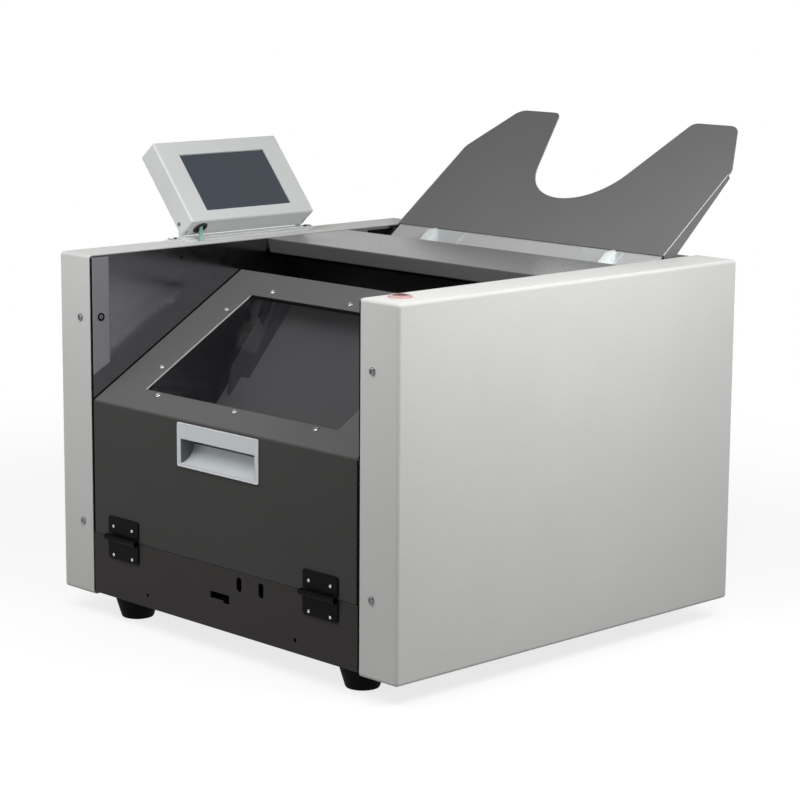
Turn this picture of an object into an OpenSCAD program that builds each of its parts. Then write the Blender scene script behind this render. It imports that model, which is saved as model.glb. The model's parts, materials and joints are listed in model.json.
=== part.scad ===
// Staple and fold machine: a desk booklet maker.
// Sheets slide from the fork tray down the feed plate, are stapled under the cross cover,
// run on to the stop, are folded by the knife between two rollers, and drop behind the door.
// Machine axes: X to the right, Y to the back, Z up. Y starts at the front, Z under the covers.

/* [Case] */
// Overall width across both side covers
body_w = 574; // [550:1:640]
// Depth of the side covers
body_d = 544; // [530:1:620]
// Height of the side covers
body_h = 400; // [390:1:440]
// Reach of the side covers below the base plate
cover_drop = 2; // [0:0.5:4]
// Width of one side cover
cover_w = 57; // [52:1:70]
// Sheet thickness of covers, door and panels
sheet_t = 1.5; // [1:0.1:2.5]
// Rounding of the side covers' edges
cover_edge_r = 4; // [3:0.5:8]
// Thickness of the inner side plates
plate_t = 3; // [2:0.5:5]
// Thickness of the base plate
base_t = 2; // [1.5:0.5:4]
// Height of the rubber feet
foot_h = 30; // [15:1:45]
// Diameter of a foot at its top
foot_top_d = 48; // [44:1:52]
// Diameter of a foot at its sole
foot_sole_d = 41; // [34:1:44]
// Distance of the feet from the middle plane
foot_x = 195; // [150:1:200]
// Distance of the feet from the front and the back
foot_inset = 38; // [34:1:90]
// Height of the lower front panel
panel_h = 73; // [65:1:85]
// Diameter of the cover screws' heads
screw_head_d = 8; // [6:0.5:10]

/* [Door] */
// Height of the door's bend
bend_z = 230.5; // [225:0.5:240]
// Slope of the window part from the horizontal
slope_angle = 30.6; // [29:0.1:31]
// Length of the window part up its slope
slope_len = 264; // [250:1:268]
// Gap between the door and each side plate
door_gap = 2; // [1:0.5:4]
// Width of the window opening
window_w = 330; // [280:1:350]
// Length of the window opening up the slope
window_len = 182; // [150:1:190]
// Distance of the window from the bend
window_from_bend = 39.5; // [36:0.5:45]
// Thickness of the window pane
pane_t = 2; // [1.5:0.5:4]
// Width of the pull handle
handle_w = 139; // [110:1:160]
// Height of the pull handle
handle_h = 50.4; // [44:0.2:52]
// Height of the pull handle's lower edge
handle_z = 177.2; // [165:0.2:178]
// Depth of the pull handle behind the door
handle_depth = 24; // [20:1:32]
// Distance of the hinges from the middle plane
hinge_x = 170; // [120:1:185]
// Width of a hinge
hinge_w = 55.4; // [44:0.2:64]
// Height of an opened hinge, both leaves
hinge_h = 50; // [40:1:60]
// Radius of the hinge knuckles
knuckle_r = 4; // [3.5:0.1:5]
// Radius of the hinge pins
hinge_pin_r = 1.6; // [1.2:0.1:2]

/* [Paper path] */
// Slope of the feed plate from the horizontal
feed_angle = 37.15; // [36.5:0.05:37.5]
// Distance of the tray's foot from the front
feed_y = 490; // [484:1:496]
// Height of the tray's foot over the covers
feed_rise = 1; // [0:0.5:4]
// Length of the fork tray up its slope
tray_len = 230; // [215:1:260]
// Width of the fork tray
tray_w = 444; // [420:1:448]
// Thickness of the fork tray
tray_t = 2; // [1.5:0.5:3]
// Radius of the fork's hand cut
fork_r = 79; // [65:1:85]
// Width of the paper that the side guides are set to
paper_w = 297; // [280:1:310]
// Height of the side guides
guide_h = 12.5; // [10:0.5:18]
// Distance of the staple line from the tray's foot
staple_line = 125; // [122:1:128]
// Distance of the fold line from the tray's foot
fold_line = 235; // [230:1:240]
// Distance of the paper stop from the tray's foot
stop_line = 450; // [446:1:456]
// Travel of the paper stop
stop_travel = 190; // [150:1:192]

/* [Staple and fold units] */
// Distance between the two staples
staple_pitch = 120; // [100:1:140]
// Travel of the staple drivers
driver_stroke = 10; // [6:0.5:10]
// Radius of the fold rollers
roller_r = 18; // [16:0.5:19]
// Gap between the fold rollers
roller_gap = 0.6; // [0.4:0.1:1]
// Thickness of the fold knife
knife_t = 1.5; // [1:0.1:1.6]
// Travel of the fold knife
knife_stroke = 32; // [26:1:32]
// Teeth of a roller gear
gear_teeth = 24; // [20:2:28]
// Width of the roller gears
gear_w = 10; // [6:1:14]

/* [Delivery] */
// Width of the delivery plate
delivery_w = 330; // [300:1:350]
// Slope of the delivery plate from the horizontal
delivery_angle = 49.6; // [48:0.1:50.5]
// Height of the booklet guides over the delivery plate
booklet_guide_h = 20; // [12:1:26]

/* [Controls] */
// Length of the control box
box_len = 197; // [180:1:210]
// Height of the control box's face
box_face = 118.5; // [112:0.5:130]
// Depth of the control box
box_depth = 31; // [28:0.5:36]
// Tilt of the control box's face from the vertical
box_tilt = 40; // [35:1:45]
// Distance of the control box from the front
box_y = 167; // [140:1:190]
// Width of the screen
screen_w = 136; // [120:1:150]
// Height of the screen
screen_h = 83; // [70:1:90]
// Diameter of the start button's bezel
bezel_d = 26; // [24:0.5:30]
// Travel of the start button
button_travel = 2.5; // [1:0.25:3]
// Distance of the start button from the front
button_y = 36.4; // [28:0.2:60]

/* [Hidden] */
$fn = 48;

// Clearances
run_gap = 0.05;
slide_gap = 0.1;
fit_gap = 0.3;
hole_gap = 0.3;

// Colours
cover_grey = "#c6c6c5";
box_grey = "#d3d5d5";
door_grey = "#454443";
tray_grey = "#6d6d6d";
plate_grey = "#aeaeae";
black = "#141414";
inner_black = "#2a2a2c";
steel = "#b9bcc0";
rubber = "#161616";
handle_grey = "#b4b7b8";
board_green = "#2f5d45";
teal = "#8ab5a8";

// Case
inner_x = body_w / 2 - cover_w;
bay_x = inner_x - plate_t;
flange_w = 30;
cover_screw_x = inner_x + 18;
cover_screw_z = [83, body_h - 74];
screw_r = 2;
screw_head_h = 2.4;
screw_len = sheet_t + plate_t + 3;
part_gap = 0.8;
panel_top = panel_h - part_gap / 2;
door_foot = panel_h + part_gap / 2;
panel_lip = 15;
slot_x = [-15, 18];
slot_z = [34.5, 42.5];
slot_step = [10, 2.5];
vent_x = [34.6, 71.7];
vent_w = 8.5;
vent_h = 17;
vent_drop = 6;
tool_hole = [128, 14.5];
tool_hole_r = 2.4;
cross_front = 271.5;
cross_depth = 134;
cross_rear_lip = 15;
cross_fascia = 11;
cross_return = [11, 9.5];
louvre_x = 120;
louvre_w = 90;
louvre_h = 4;
louvre_pitch = 10;
louvre_count = 8;
louvre_z = body_h - 140;

// Door
door_x = bay_x - door_gap;
bend_r = 8;
// Inside radius of the lips: a square inside, and outside what the sheet's thickness leaves
lip_r = -0.9;
door_lip = 12;
door_return = 12;
slope_top = [slope_len * cos(slope_angle), bend_z + slope_len * sin(slope_angle)];
door_path = [
  slope_top + door_lip * [sin(slope_angle), -cos(slope_angle)], slope_top,
  [0, bend_z], [0, door_foot], [panel_lip, door_foot]
];
door_bends = [0, lip_r, bend_r, lip_r, 0];
pane_lap = 21;
window_screw_inset = 10;
window_screw_r = 1.5;
window_head_d = 5.6;
window_head_h = 1.8;
window_screw_x = [-window_w / 2 + 30, 0, window_w / 2 - 30];
window_column_u = [window_from_bend + window_len * 0.19, window_from_bend + window_len * 0.82];
handle_rim = 3.6;
handle_rim_t = 1.6;
handle_band = 18.5;
handle_wall = 2.5;
hinge_leaf_t = 2;
hinge_y = -knuckle_r - 0.5;
hinge_screw_x = hinge_w * 0.31;
hinge_screw_up = hinge_h * 0.27;
hinge_screw_down = hinge_h * 0.41;
hinge_screw_r = 1.5;
hinge_head_d = 5.4;
hinge_head_h = 1.4;
hinge_corner_r = 3;
pin_tail = 3.5;

// Paper path, in the slope's own axes: Y up the slope from the tray's foot, Z square to it
feed_z = body_h + feed_rise;
feed_x = bay_x - 8;
feed_t = sheet_t;
fold_half_slot = 4;
plate_top_y = 20;
guide_wall_t = 1.5;
guide_len = 50;
guide_top_y = -2;
guide_wall = paper_w / 2;
guide_stem = guide_wall - 22;
guide_foot = 14;
guide_base = 50;
pinion_y = -40;
pinion_teeth = 12;
pinion_module = 1;
pinion_pitch_r = pinion_module * pinion_teeth / 2;
rack_z0 = -feed_t - 6.5;
rack_z1 = -feed_t - 1.5;
rack_body = 7;
guide_in = 74;
guide_out = 16;
stem_w = 10;
stem_t = 4;
stem_x = 26;
stud_r = 2.5;

// Stapling
staple_x = staple_pitch / 2;
head_w = 34;
head_y0 = -staple_line - 25;
head_y1 = -staple_line + 20;
head_z0 = 6;
head_z1 = 68;
head_cap_h = 14;
driver_r = 6;
driver_blade = 1.2;
beam_d = 15;
beam_top = 90;
cartridge = [20, 34, 20];
cartridge_lip = [14, 10, 6];
clincher_d = 30;
clincher_h = 18;
anvil = [26, 10];
// Tie bars: their thickness, and the ends of the upper and the fold bar along the slope
tie_t = 10;
tie_w = 15;
upper_tie_y = -20;
fold_tie_y = 9 - fold_line;

// Folding
roller_dist = 2 * roller_r + roller_gap;
roller_z = 34;
roller_x = bay_x - 52;
journal_r = 6;
bush_r = 10;
bush_flange_r = 13;
bush_flange_t = 2;
gear_module = roller_dist / gear_teeth;
motor_teeth = gear_teeth / 2;
gear_x0 = inner_x + 6;
pinion_dir = 120;
motor_dist = gear_module * (gear_teeth + motor_teeth) / 2;
motor_at = [
  -fold_line - roller_dist / 2 + motor_dist * cos(pinion_dir),
  roller_z + motor_dist * sin(pinion_dir)
];
motor_r = 20;
motor_len = 45;
motor_shaft_r = 4;
knife_rest = -4;
knife_low = -76;
knife_x = roller_x - 5;
carrier_h = 16;
carrier_d = 12;
carrier_x = bay_x - 27;
rod_r = 5;
rack_x = 150;
rack_w = 10;
knife_module = 1.5;
knife_teeth = 16;
knife_pitch_r = knife_module * knife_teeth / 2;
knife_rack_y = -fold_line - 8;
knife_shaft_y = knife_rack_y - knife_pitch_r;
shaft_r = 5;
shaft_z = -100;
rack_len_down = 70;
guide_block_h = 14;
knife_motor_r = 30;
knife_motor_len = cover_w - sheet_t - 4;

// Paper stop
stop_rail_x = 100;
stop_rail_r = 4;
stop_rail_z = -20;
stop_screw_r = 5;
gate_h = 16;
gate_d = 20;
gate_x = stop_rail_x + 15;
finger_w = 6;
finger_t = 5;
finger_top = 14;
finger_x = staple_x;
rail_bar = 10;
upper_rail_y = -fold_line - fold_half_slot - 3 - rail_bar;
lower_rail_y = -stop_line - 42;
stop_motor_side = 42;
stop_motor_len = 44;

// Delivery
delivery_top = [236, body_h - 63.4];
delivery_foot_z = 150;
delivery_len = (delivery_top.y - delivery_foot_z) / sin(delivery_angle);
delivery_foot_y = delivery_top.x - delivery_len * cos(delivery_angle);
delivery_front_y = 30;
delivery_lip = 9;
delivery_bar_y = [40, delivery_len - 55];

// Control box
box_edge = [-(inner_x + 38), body_h + 5];
box_edge_r = 3;
box_wall = 2.5;
pivot_up = 13.4;
pivot_in = 8;
pivot_x = box_edge.x - pivot_up * sin(box_tilt) + pivot_in * cos(box_tilt);
pivot_z = box_edge.y + pivot_up * cos(box_tilt) + pivot_in * sin(box_tilt);
pivot_r = 2;
pivot_head_d = 5.5;
pivot_head_h = 1.6;
bracket_t = 2;
bracket_w = 30;
bracket_foot = [14, 18];
ear_gap = 0.5;
ear_r = 5;
ear_slot = 2 * ear_gap + bracket_t;
screen_t = 4;
screen_low = 15;
screen_recess = 1;
cable_r = 2.5;
cable_in = 20;
cable_out = box_depth * 0.55;
cable_foot = [box_edge.x + cable_out * cos(box_tilt) + 2, box_y + cable_in];
cable_hole_r = 8;
button_x = inner_x + 20.7;
button_r = 9;
bezel_h = 2.5;
button_body_h = 18;

// Electrical pieces on the base and in the rear cover
inlet_x = 150;
inlet_z = 60;
inlet_w = 48;
inlet_h = 62;
rocker_w = 21;
rocker_h = 12.6;
rocker_swing = 2.8;
rocker_mid = 14;
rocker_in = 4;
rocker_low = rocker_mid - rocker_h / 2 - rocker_swing;
rocker_high = rocker_mid + rocker_h / 2 + rocker_swing;
inlet_rim = 4;
inlet_depth = 26;
socket_w = 28;
socket_h = 20;
socket_corner = 6;
rear_lip = 32;
supply_size = [110, 160, 42];
supply_at = [30 - bay_x, body_d - 204, base_t];
board_size = [120, 90, 1.6];
board_at = [60, body_d - 164, base_t + 8];

// Outlines

// Unit vector from p to q
function dir(p, q) = (q - p) / norm(q - p);
// Left normal of a direction
function left(d) = [-d.y, d.x];
// Signed turn from direction a to direction b
function turn(a, b) = atan2(a.x * b.y - a.y * b.x, a.x * b.x + a.y * b.y);
// A vector turned by an angle
function spun(v, a) = [v.x * cos(a) - v.y * sin(a), v.x * sin(a) + v.y * cos(a)];
// Arc that rounds the corner q between p and s
function corner(p, q, s, r, n) =
  let (a = dir(p, q), b = dir(q, s), t = turn(a, b), e = q - a * r * tan(abs(t) / 2))
  let (c = e + left(a) * r * sign(t))
  [for (k = [0:n]) c + spun(e - c, t * k / n)];
// A path with its corners rounded by r, one radius or one for each point, and more on left or right turns
function rounded(path, r, more_left = 0, more_right = 0, n = 6) = [
  for (i = [0:len(path) - 1])
    if (i == 0 || i == len(path) - 1) path[i]
    else
      let (t = turn(dir(path[i - 1], path[i]), dir(path[i], path[i + 1])))
      let (own = (is_list(r) ? r[i] : r) + (t > 0 ? more_left : more_right))
      each own > 0 ? corner(path[i - 1], path[i], path[i + 1], own, n) : [path[i]]
];
// A path moved to its left by t
function moved(path, t) = [
  for (i = [0:len(path) - 1])
    let (a = i == 0 ? dir(path[0], path[1]) : dir(path[i - 1], path[i]))
    let (b = i == len(path) - 1 ? a : dir(path[i], path[i + 1]))
    path[i] + t * (left(a) + left(b)) / (1 + a * b)
];
// Points in reverse order
function reversed(path) = [for (i = [len(path) - 1:-1:0]) path[i]];
// Outline of a bent sheet of thickness t that lies to the left of its path
function bent_sheet(path, t, r) =
  concat(rounded(path, r, t, 0), reversed(rounded(moved(path, t), r, 0, t)));
// Rectangle with rounded corners
function rounded_rect(p, q, r, n = 6) = [
  for (c = [[q.x - r, q.y - r, 0], [p.x + r, q.y - r, 90], [p.x + r, p.y + r, 180], [q.x - r, p.y + r, 270]])
    for (k = [0:n]) [c.x + r * cos(c.z + 90 * k / n), c.y + r * sin(c.z + 90 * k / n)]
];
// Gear outline with straight-sided teeth and working backlash, one tooth at the given angle
function gear_outline(teeth, m, at = 0) =
  let (rp = m * teeth / 2, deg = 180 / PI)
  [
    for (k = [0:teeth - 1])
      for (p = [[-1.2, -0.86], [0.8, -0.3], [0.8, 0.3], [-1.2, 0.86]])
        let (r = rp + p.x * m, a = at + 360 * k / teeth + p.y * m / rp * deg)
        [r * cos(a), r * sin(a)]
  ];
// Rack outline along X with its pitch line on Y = 0, a gap at X = 0 and its teeth towards +Y
function rack_outline(x0, x1, m, body) =
  let (pitch = PI * m, k0 = ceil(x0 / pitch), k1 = floor(x1 / pitch) - 1)
  concat(
    [[x0, -body], [x0, -1.2 * m]],
    [
      for (k = [k0:k1])
        for (p = [[-0.96, -1.2], [-0.3, 0.8], [0.3, 0.8], [0.96, -1.2]])
          [(k + 0.5) * pitch + p.x * m, p.y * m]
    ],
    [[x1, -1.2 * m], [x1, -body]]
  );

// Places

// From machine axes to the part's frame: the middle of the footprint on the bench
module in_frame() {
  translate([0, -body_d / 2, foot_h]) children();
}
// Axes of the feed plate
module on_feed() {
  translate([0, feed_y, feed_z]) rotate([feed_angle, 0, 0]) children();
}
// Axes of the door's window part
module on_slope() {
  translate([0, 0, bend_z]) rotate([slope_angle, 0, 0]) children();
}
// Axes of the delivery plate
module on_delivery() {
  translate([0, delivery_foot_y, delivery_foot_z]) rotate([delivery_angle, 0, 0]) children();
}
// Axes of the control box: X out of its face, Z up its face
module on_box() {
  translate([box_edge.x, box_y, box_edge.y]) rotate([0, -box_tilt, 0]) children();
}
// Both sides of the middle plane
module both_sides() {
  children();
  mirror([1, 0, 0]) children();
}

// Shapes

// A box between two corners
module block(p, q) {
  translate(p) cube(q - p);
}
// A bar across the machine
module cross_bar(x, y0, y1, z0, z1) {
  block([-x, y0, z0], [x, y1, z1]);
}
// A (Y, Z) outline drawn along X from x0 to x1
module drawn_x(x0, x1) {
  translate([x0, 0, 0]) rotate([90, 0, 90]) linear_extrude(height = x1 - x0) children();
}
// An (X, Z) outline drawn along Y from y0 to y1
module drawn_y(y0, y1) {
  translate([0, y1, 0]) rotate([90, 0, 0]) linear_extrude(height = y1 - y0) children();
}
// A round rod along X
module rod_x(x0, x1, y, z, r) {
  translate([x0, y, z]) rotate([0, 90, 0]) cylinder(h = x1 - x0, r = r);
}
// A round rod along Y
module rod_y(y0, y1, x, z, r) {
  translate([x, y1, z]) rotate([90, 0, 0]) cylinder(h = y1 - y0, r = r);
}
// A round rod along Z
module rod_z(z0, z1, x, y, r) {
  translate([x, y, z0]) cylinder(h = z1 - z0, r = r);
}
// A box with all its edges rounded
module rounded_block(p, q, r) {
  intersection() {
    translate([0, 0, p.z]) linear_extrude(height = q.z - p.z)
      polygon(rounded_rect([p.x, p.y], [q.x, q.y], r));
    drawn_x(p.x, q.x) polygon(rounded_rect([p.y, p.z], [q.y, q.z], r));
    drawn_y(p.y, q.y) polygon(rounded_rect([p.x, p.z], [q.x, q.z], r));
  }
}
// A pan screw with its head towards -Y, seated at y = 0
module pan_screw(r, head_d, head_h, length) {
  rod_y(-head_h, 0, 0, 0, head_d / 2);
  rod_y(-slide_gap, length, 0, 0, r);
}

// Case

// Places of the cover screws on the right half
module at_cover_screws() {
  for (z = cover_screw_z) {
    translate([cover_screw_x, 0, z]) children();
    translate([cover_screw_x, body_d, z]) rotate([0, 0, 180]) children();
  }
}
module cover_shell() {
  difference() {
    rounded_block([bay_x - 20, 0, -cover_drop], [body_w / 2, body_d, body_h], cover_edge_r);
    rounded_block(
      [bay_x - 30, sheet_t, sheet_t - cover_drop],
      [body_w / 2 - sheet_t, body_d - sheet_t, body_h - sheet_t],
      cover_edge_r - sheet_t
    );
    block([0, -1, -cover_drop - 1], [inner_x, body_d + 1, body_h + 1]);
    at_cover_screws() rod_y(-1, sheet_t + 1, 0, 0, screw_r + hole_gap);
  }
}
module left_side_cover() {
  color(cover_grey) in_frame() difference() {
    mirror([1, 0, 0]) cover_shell();
    translate([cable_foot.x, cable_foot.y, body_h])
      rod_z(-sheet_t - 1, 1, 0, 0, cable_r + hole_gap);
  }
}
module right_side_cover() {
  color(cover_grey) in_frame() difference() {
    cover_shell();
    rod_z(body_h - sheet_t - 1, body_h + 1, button_x, button_y, bezel_d / 2 - 2 + hole_gap);
  }
}
// A side plate with flanges that take the cover screws
module plate_blank() {
  difference() {
    union() {
      block([bay_x, sheet_t, 1], [inner_x, body_d - sheet_t, body_h - 1]);
      for (y = [sheet_t, body_d - sheet_t - plate_t])
        block([bay_x, y, 30], [inner_x + flange_w, y + plate_t, body_h - 30]);
    }
    at_cover_screws() rod_y(0, sheet_t + plate_t + 1, 0, 0, screw_r + hole_gap);
    on_feed() for (s = [-1, 1])
      rod_x(bay_x - 1, inner_x + 1, -fold_line + s * roller_dist / 2, roller_z, bush_r + run_gap);
    on_feed() rod_x(bay_x - 1, inner_x + 1, knife_shaft_y, shaft_z, shaft_r + run_gap);
  }
}
module left_side_plate() {
  color(inner_black) in_frame() mirror([1, 0, 0]) plate_blank();
}
module right_side_plate() {
  color(inner_black) in_frame() difference() {
    plate_blank();
    on_feed() rod_x(bay_x - 1, inner_x + 1, motor_at.x, motor_at.y, motor_shaft_r + 2);
  }
}
module base_plate() {
  color(plate_grey) in_frame() block([-bay_x, sheet_t, 0], [bay_x, body_d - sheet_t, base_t]);
}
module lower_front_panel() {
  color(door_grey) in_frame() difference() {
    drawn_x(-bay_x, bay_x)
      polygon(bent_sheet([[panel_lip, panel_top], [0, panel_top], [0, 0]], sheet_t, lip_r));
    block([slot_x[0], -1, slot_z[0]], [slot_x[1], sheet_t + 1, slot_z[1]]);
    block([slot_x[1] - slot_step.x, -1, slot_z[0] - slot_step.y], [slot_x[1], sheet_t + 1, slot_z[1]]);
    for (x = vent_x)
      drawn_y(-1, sheet_t + 1) polygon(rounded_rect(
        [x - vent_w / 2, panel_h - vent_drop - vent_h], [x + vent_w / 2, panel_h - vent_drop], vent_w * 0.45
      ));
    both_sides() translate([tool_hole.x, 0, tool_hole.y]) rod_y(-1, sheet_t + 1, 0, 0, tool_hole_r);
    at_hinge_screws(-1) rod_y(-1, sheet_t + 1, 0, 0, hinge_screw_r + hole_gap);
  }
}
module rear_cover() {
  color(door_grey) in_frame() difference() {
    drawn_x(-bay_x, bay_x) polygon(bent_sheet(
      [[body_d, base_t], [body_d, body_h - 2], [body_d - rear_lip, body_h - 2]], sheet_t, 3
    ));
    block(
      [inlet_x - inlet_w / 2 + inlet_rim, body_d - sheet_t - 1, inlet_z - inlet_h / 2 + inlet_rim],
      [inlet_x + inlet_w / 2 - inlet_rim, body_d + 1, inlet_z + inlet_h / 2 - inlet_rim]
    );
    for (x = [-louvre_x, 0, louvre_x])
      for (k = [0:louvre_count - 1])
        translate([x - louvre_w / 2, body_d - sheet_t - 1, louvre_z + louvre_pitch * k])
          cube([louvre_w, sheet_t + 2, louvre_h]);
  }
}
module cross_cover() {
  top = body_h - 0.5;
  rear = cross_front + cross_depth;
  fold = top - cross_fascia;
  color(door_grey) in_frame() drawn_x(-bay_x, bay_x) polygon(bent_sheet(
    [
      [rear, top - cross_rear_lip], [rear, top], [cross_front, top],
      [cross_front, fold], [cross_front + cross_return.x, fold - cross_return.y]
    ], sheet_t, 1.5
  ));
}
module rubber_feet() {
  hollow_d = foot_sole_d * 0.4;
  color(rubber) in_frame() both_sides() for (y = [foot_inset, body_d - foot_inset])
    translate([foot_x, y, -foot_h]) difference() {
      cylinder(h = foot_h, d1 = foot_sole_d, d2 = foot_top_d);
      translate([0, 0, -1]) cylinder(h = 5, d = hollow_d);
    }
}
module cover_screws() {
  color(steel) in_frame() both_sides() at_cover_screws()
    pan_screw(screw_r, screw_head_d, screw_head_h, screw_len);
}

// Door

module at_window_screws() {
  u0 = window_from_bend - window_screw_inset;
  u1 = window_from_bend + window_len + window_screw_inset;
  on_slope() {
    for (x = window_screw_x)
      for (u = [u0, u1])
        translate([x, u, 0]) rotate([-90, 0, 0]) children();
    for (s = [-1, 1])
      for (u = window_column_u)
        translate([s * (window_w / 2 + window_screw_inset + 1), u, 0]) rotate([-90, 0, 0]) children();
  }
}
module front_door() {
  color(door_grey) in_frame() difference() {
    union() {
      drawn_x(-door_x, door_x) polygon(bent_sheet(door_path, sheet_t, door_bends));
      both_sides() drawn_x(door_x - sheet_t, door_x)
        polygon(bent_sheet([slope_top, [0, bend_z], [0, door_foot]], door_return, 0.5));
    }
    on_slope() block(
      [-window_w / 2, window_from_bend, -sheet_t - 1],
      [window_w / 2, window_from_bend + window_len, 1]
    );
    at_window_screws() rod_y(-1, sheet_t + 1, 0, 0, window_screw_r + hole_gap);
    block(
      [-handle_w / 2 + handle_rim - fit_gap, -1, handle_z + handle_rim - fit_gap],
      [handle_w / 2 - handle_rim + fit_gap, sheet_t + 1, handle_z + handle_h - handle_rim + fit_gap]
    );
    at_hinge_screws(1) rod_y(-1, sheet_t + 1, 0, 0, hinge_screw_r + hole_gap);
  }
}
module window_pane() {
  color("#3b3d42", 0.6) in_frame() difference() {
    on_slope() block(
      [-window_w / 2 - pane_lap, window_from_bend - pane_lap, -sheet_t - pane_t],
      [window_w / 2 + pane_lap, window_from_bend + window_len + pane_lap, -sheet_t]
    );
    at_window_screws() rod_y(0, sheet_t + pane_t + 1, 0, 0, window_screw_r + hole_gap);
  }
}
module window_screws() {
  color(steel) in_frame() at_window_screws()
    pan_screw(window_screw_r, window_head_d, window_head_h, sheet_t + pane_t + 2);
}
// Recess pull: a rim on the door, a flat band over the opening, and a scoop behind the band
module door_handle() {
  low = handle_z + handle_rim;
  high = handle_z + handle_h - handle_rim;
  band = handle_z + handle_h - handle_band;
  back = handle_depth - handle_wall;
  scoop_h = band - low - handle_wall + 8;
  scoop = concat(
    [[-handle_rim_t - 1, band], [-handle_rim_t - 1, low + 0.5]],
    [
      for (k = [0:8])
        [-handle_rim_t + (back + handle_rim_t) * sin(90 * k / 8), low + 0.5 + scoop_h * (1 - cos(90 * k / 8))]
    ],
    [[back, high - handle_wall - 2], [back - 2, high - handle_wall], [handle_wall + 2, high - handle_wall],
      [handle_wall, high - handle_wall - 2], [handle_wall, band + 2], [handle_wall - 1, band]]
  );
  color(handle_grey) in_frame() difference() {
    union() {
      drawn_y(-handle_rim_t, 0)
        polygon(rounded_rect([-handle_w / 2, handle_z], [handle_w / 2, handle_z + handle_h], 2.5));
      block([-handle_w / 2 + handle_rim, -slide_gap, low], [handle_w / 2 - handle_rim, handle_depth, high]);
    }
    drawn_x(-handle_w / 2 + handle_rim + handle_wall, handle_w / 2 - handle_rim - handle_wall) polygon(scoop);
  }
}

// Hinges

// Screw places on the frame leaves (side -1) or the door leaves (side 1)
module at_hinge_screws(side) {
  for (x = [-hinge_x, hinge_x])
    for (s = [-1, 1])
      translate([x + s * hinge_screw_x, 0, panel_h + (side > 0 ? hinge_screw_up : -hinge_screw_down)])
        children();
}
// One leaf with its knuckles; the listed fifths of the width carry knuckles
module hinge_leaf(side, fifths) {
  fifth = hinge_w / 5;
  half = hinge_w / 2;
  edge = knuckle_r + 0.5;
  far = side * hinge_h / 2;
  leaf = [[-half, side * edge], [-half, far], [half, far], [half, side * edge]];
  difference() {
    union() {
      drawn_y(-hinge_leaf_t, 0) polygon(rounded(leaf, hinge_corner_r, 0, 0, 4));
      for (k = fifths) {
        x0 = -hinge_w / 2 + k * fifth + fit_gap / 2;
        x1 = x0 + fifth - fit_gap;
        block([x0, -hinge_leaf_t, side > 0 ? 0 : -edge - 1], [x1, 0, side > 0 ? edge + 1 : 0]);
        rod_x(x0, x1, hinge_y, 0, knuckle_r);
      }
    }
    rod_x(-hinge_w, hinge_w, hinge_y, 0, hinge_pin_r + run_gap);
  }
}
module hinge_leaves(side, fifths) {
  difference() {
    for (x = [-hinge_x, hinge_x])
      translate([x, 0, panel_h]) hinge_leaf(side, fifths);
    at_hinge_screws(side) rod_y(-hinge_leaf_t - 1, 1, 0, 0, hinge_screw_r + hole_gap);
  }
}
module hinge_frame_leaves() {
  color(black) in_frame() hinge_leaves(-1, [0, 2, 4]);
}
module hinge_door_leaves() {
  color(black) in_frame() hinge_leaves(1, [1, 3]);
}
module hinge_pins() {
  color(black) in_frame() for (x = [-hinge_x, hinge_x]) {
    rod_x(x - hinge_w / 2 - pin_tail, x + hinge_w / 2 - 1, hinge_y, panel_h, hinge_pin_r);
    rod_x(x - hinge_w / 2 - pin_tail, x - hinge_w / 2 - pin_tail + 2, hinge_y, panel_h, hinge_pin_r + 0.8);
  }
}
module hinge_screws(side) {
  at_hinge_screws(side) translate([0, -hinge_leaf_t, 0])
    pan_screw(hinge_screw_r, hinge_head_d, hinge_head_h, hinge_leaf_t + sheet_t + 2);
}
module hinge_frame_screws() {
  color(black) in_frame() hinge_screws(-1);
}
module hinge_door_screws() {
  color(black) in_frame() hinge_screws(1);
}

// Paper path

module feed_plate() {
  slot_w = rack_body - 2;
  color(plate_grey) in_frame() on_feed() {
    difference() {
      cross_bar(feed_x, -fold_line + fold_half_slot, plate_top_y, -feed_t, 0);
      for (s = [-1, 1])
        translate([s * staple_x, -staple_line, 0]) block([-14, -7, -feed_t - 1], [14, 7, 1]);
      for (s = [-1, 1])
        translate([0, pinion_y - s * (pinion_pitch_r + 3.5), 0]) block(
          [s > 0 ? stem_x + 8 : -guide_stem - guide_out - stem_w, -slot_w / 2, -feed_t - 1],
          [s > 0 ? guide_stem + guide_out + stem_w : -stem_x - 8, slot_w / 2, 1]
        );
    }
    rod_z(rack_z0 - 3, -feed_t, 0, pinion_y, stud_r);
    rod_z(rack_z0 - 4.5, rack_z0 - 2, 0, pinion_y, stud_r + 1.5);
  }
}
module lower_guide_plate() {
  slot_w = finger_w + 2;
  color(plate_grey) in_frame() on_feed() difference() {
    cross_bar(feed_x, lower_rail_y, -fold_line - fold_half_slot, -feed_t, 0);
    for (s = [-1, 1])
      block(
        [s * finger_x - slot_w / 2, -stop_line - 20, -feed_t - 1],
        [s * finger_x + slot_w / 2, -stop_line + stop_travel + 8, 1]
      );
  }
}
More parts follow.
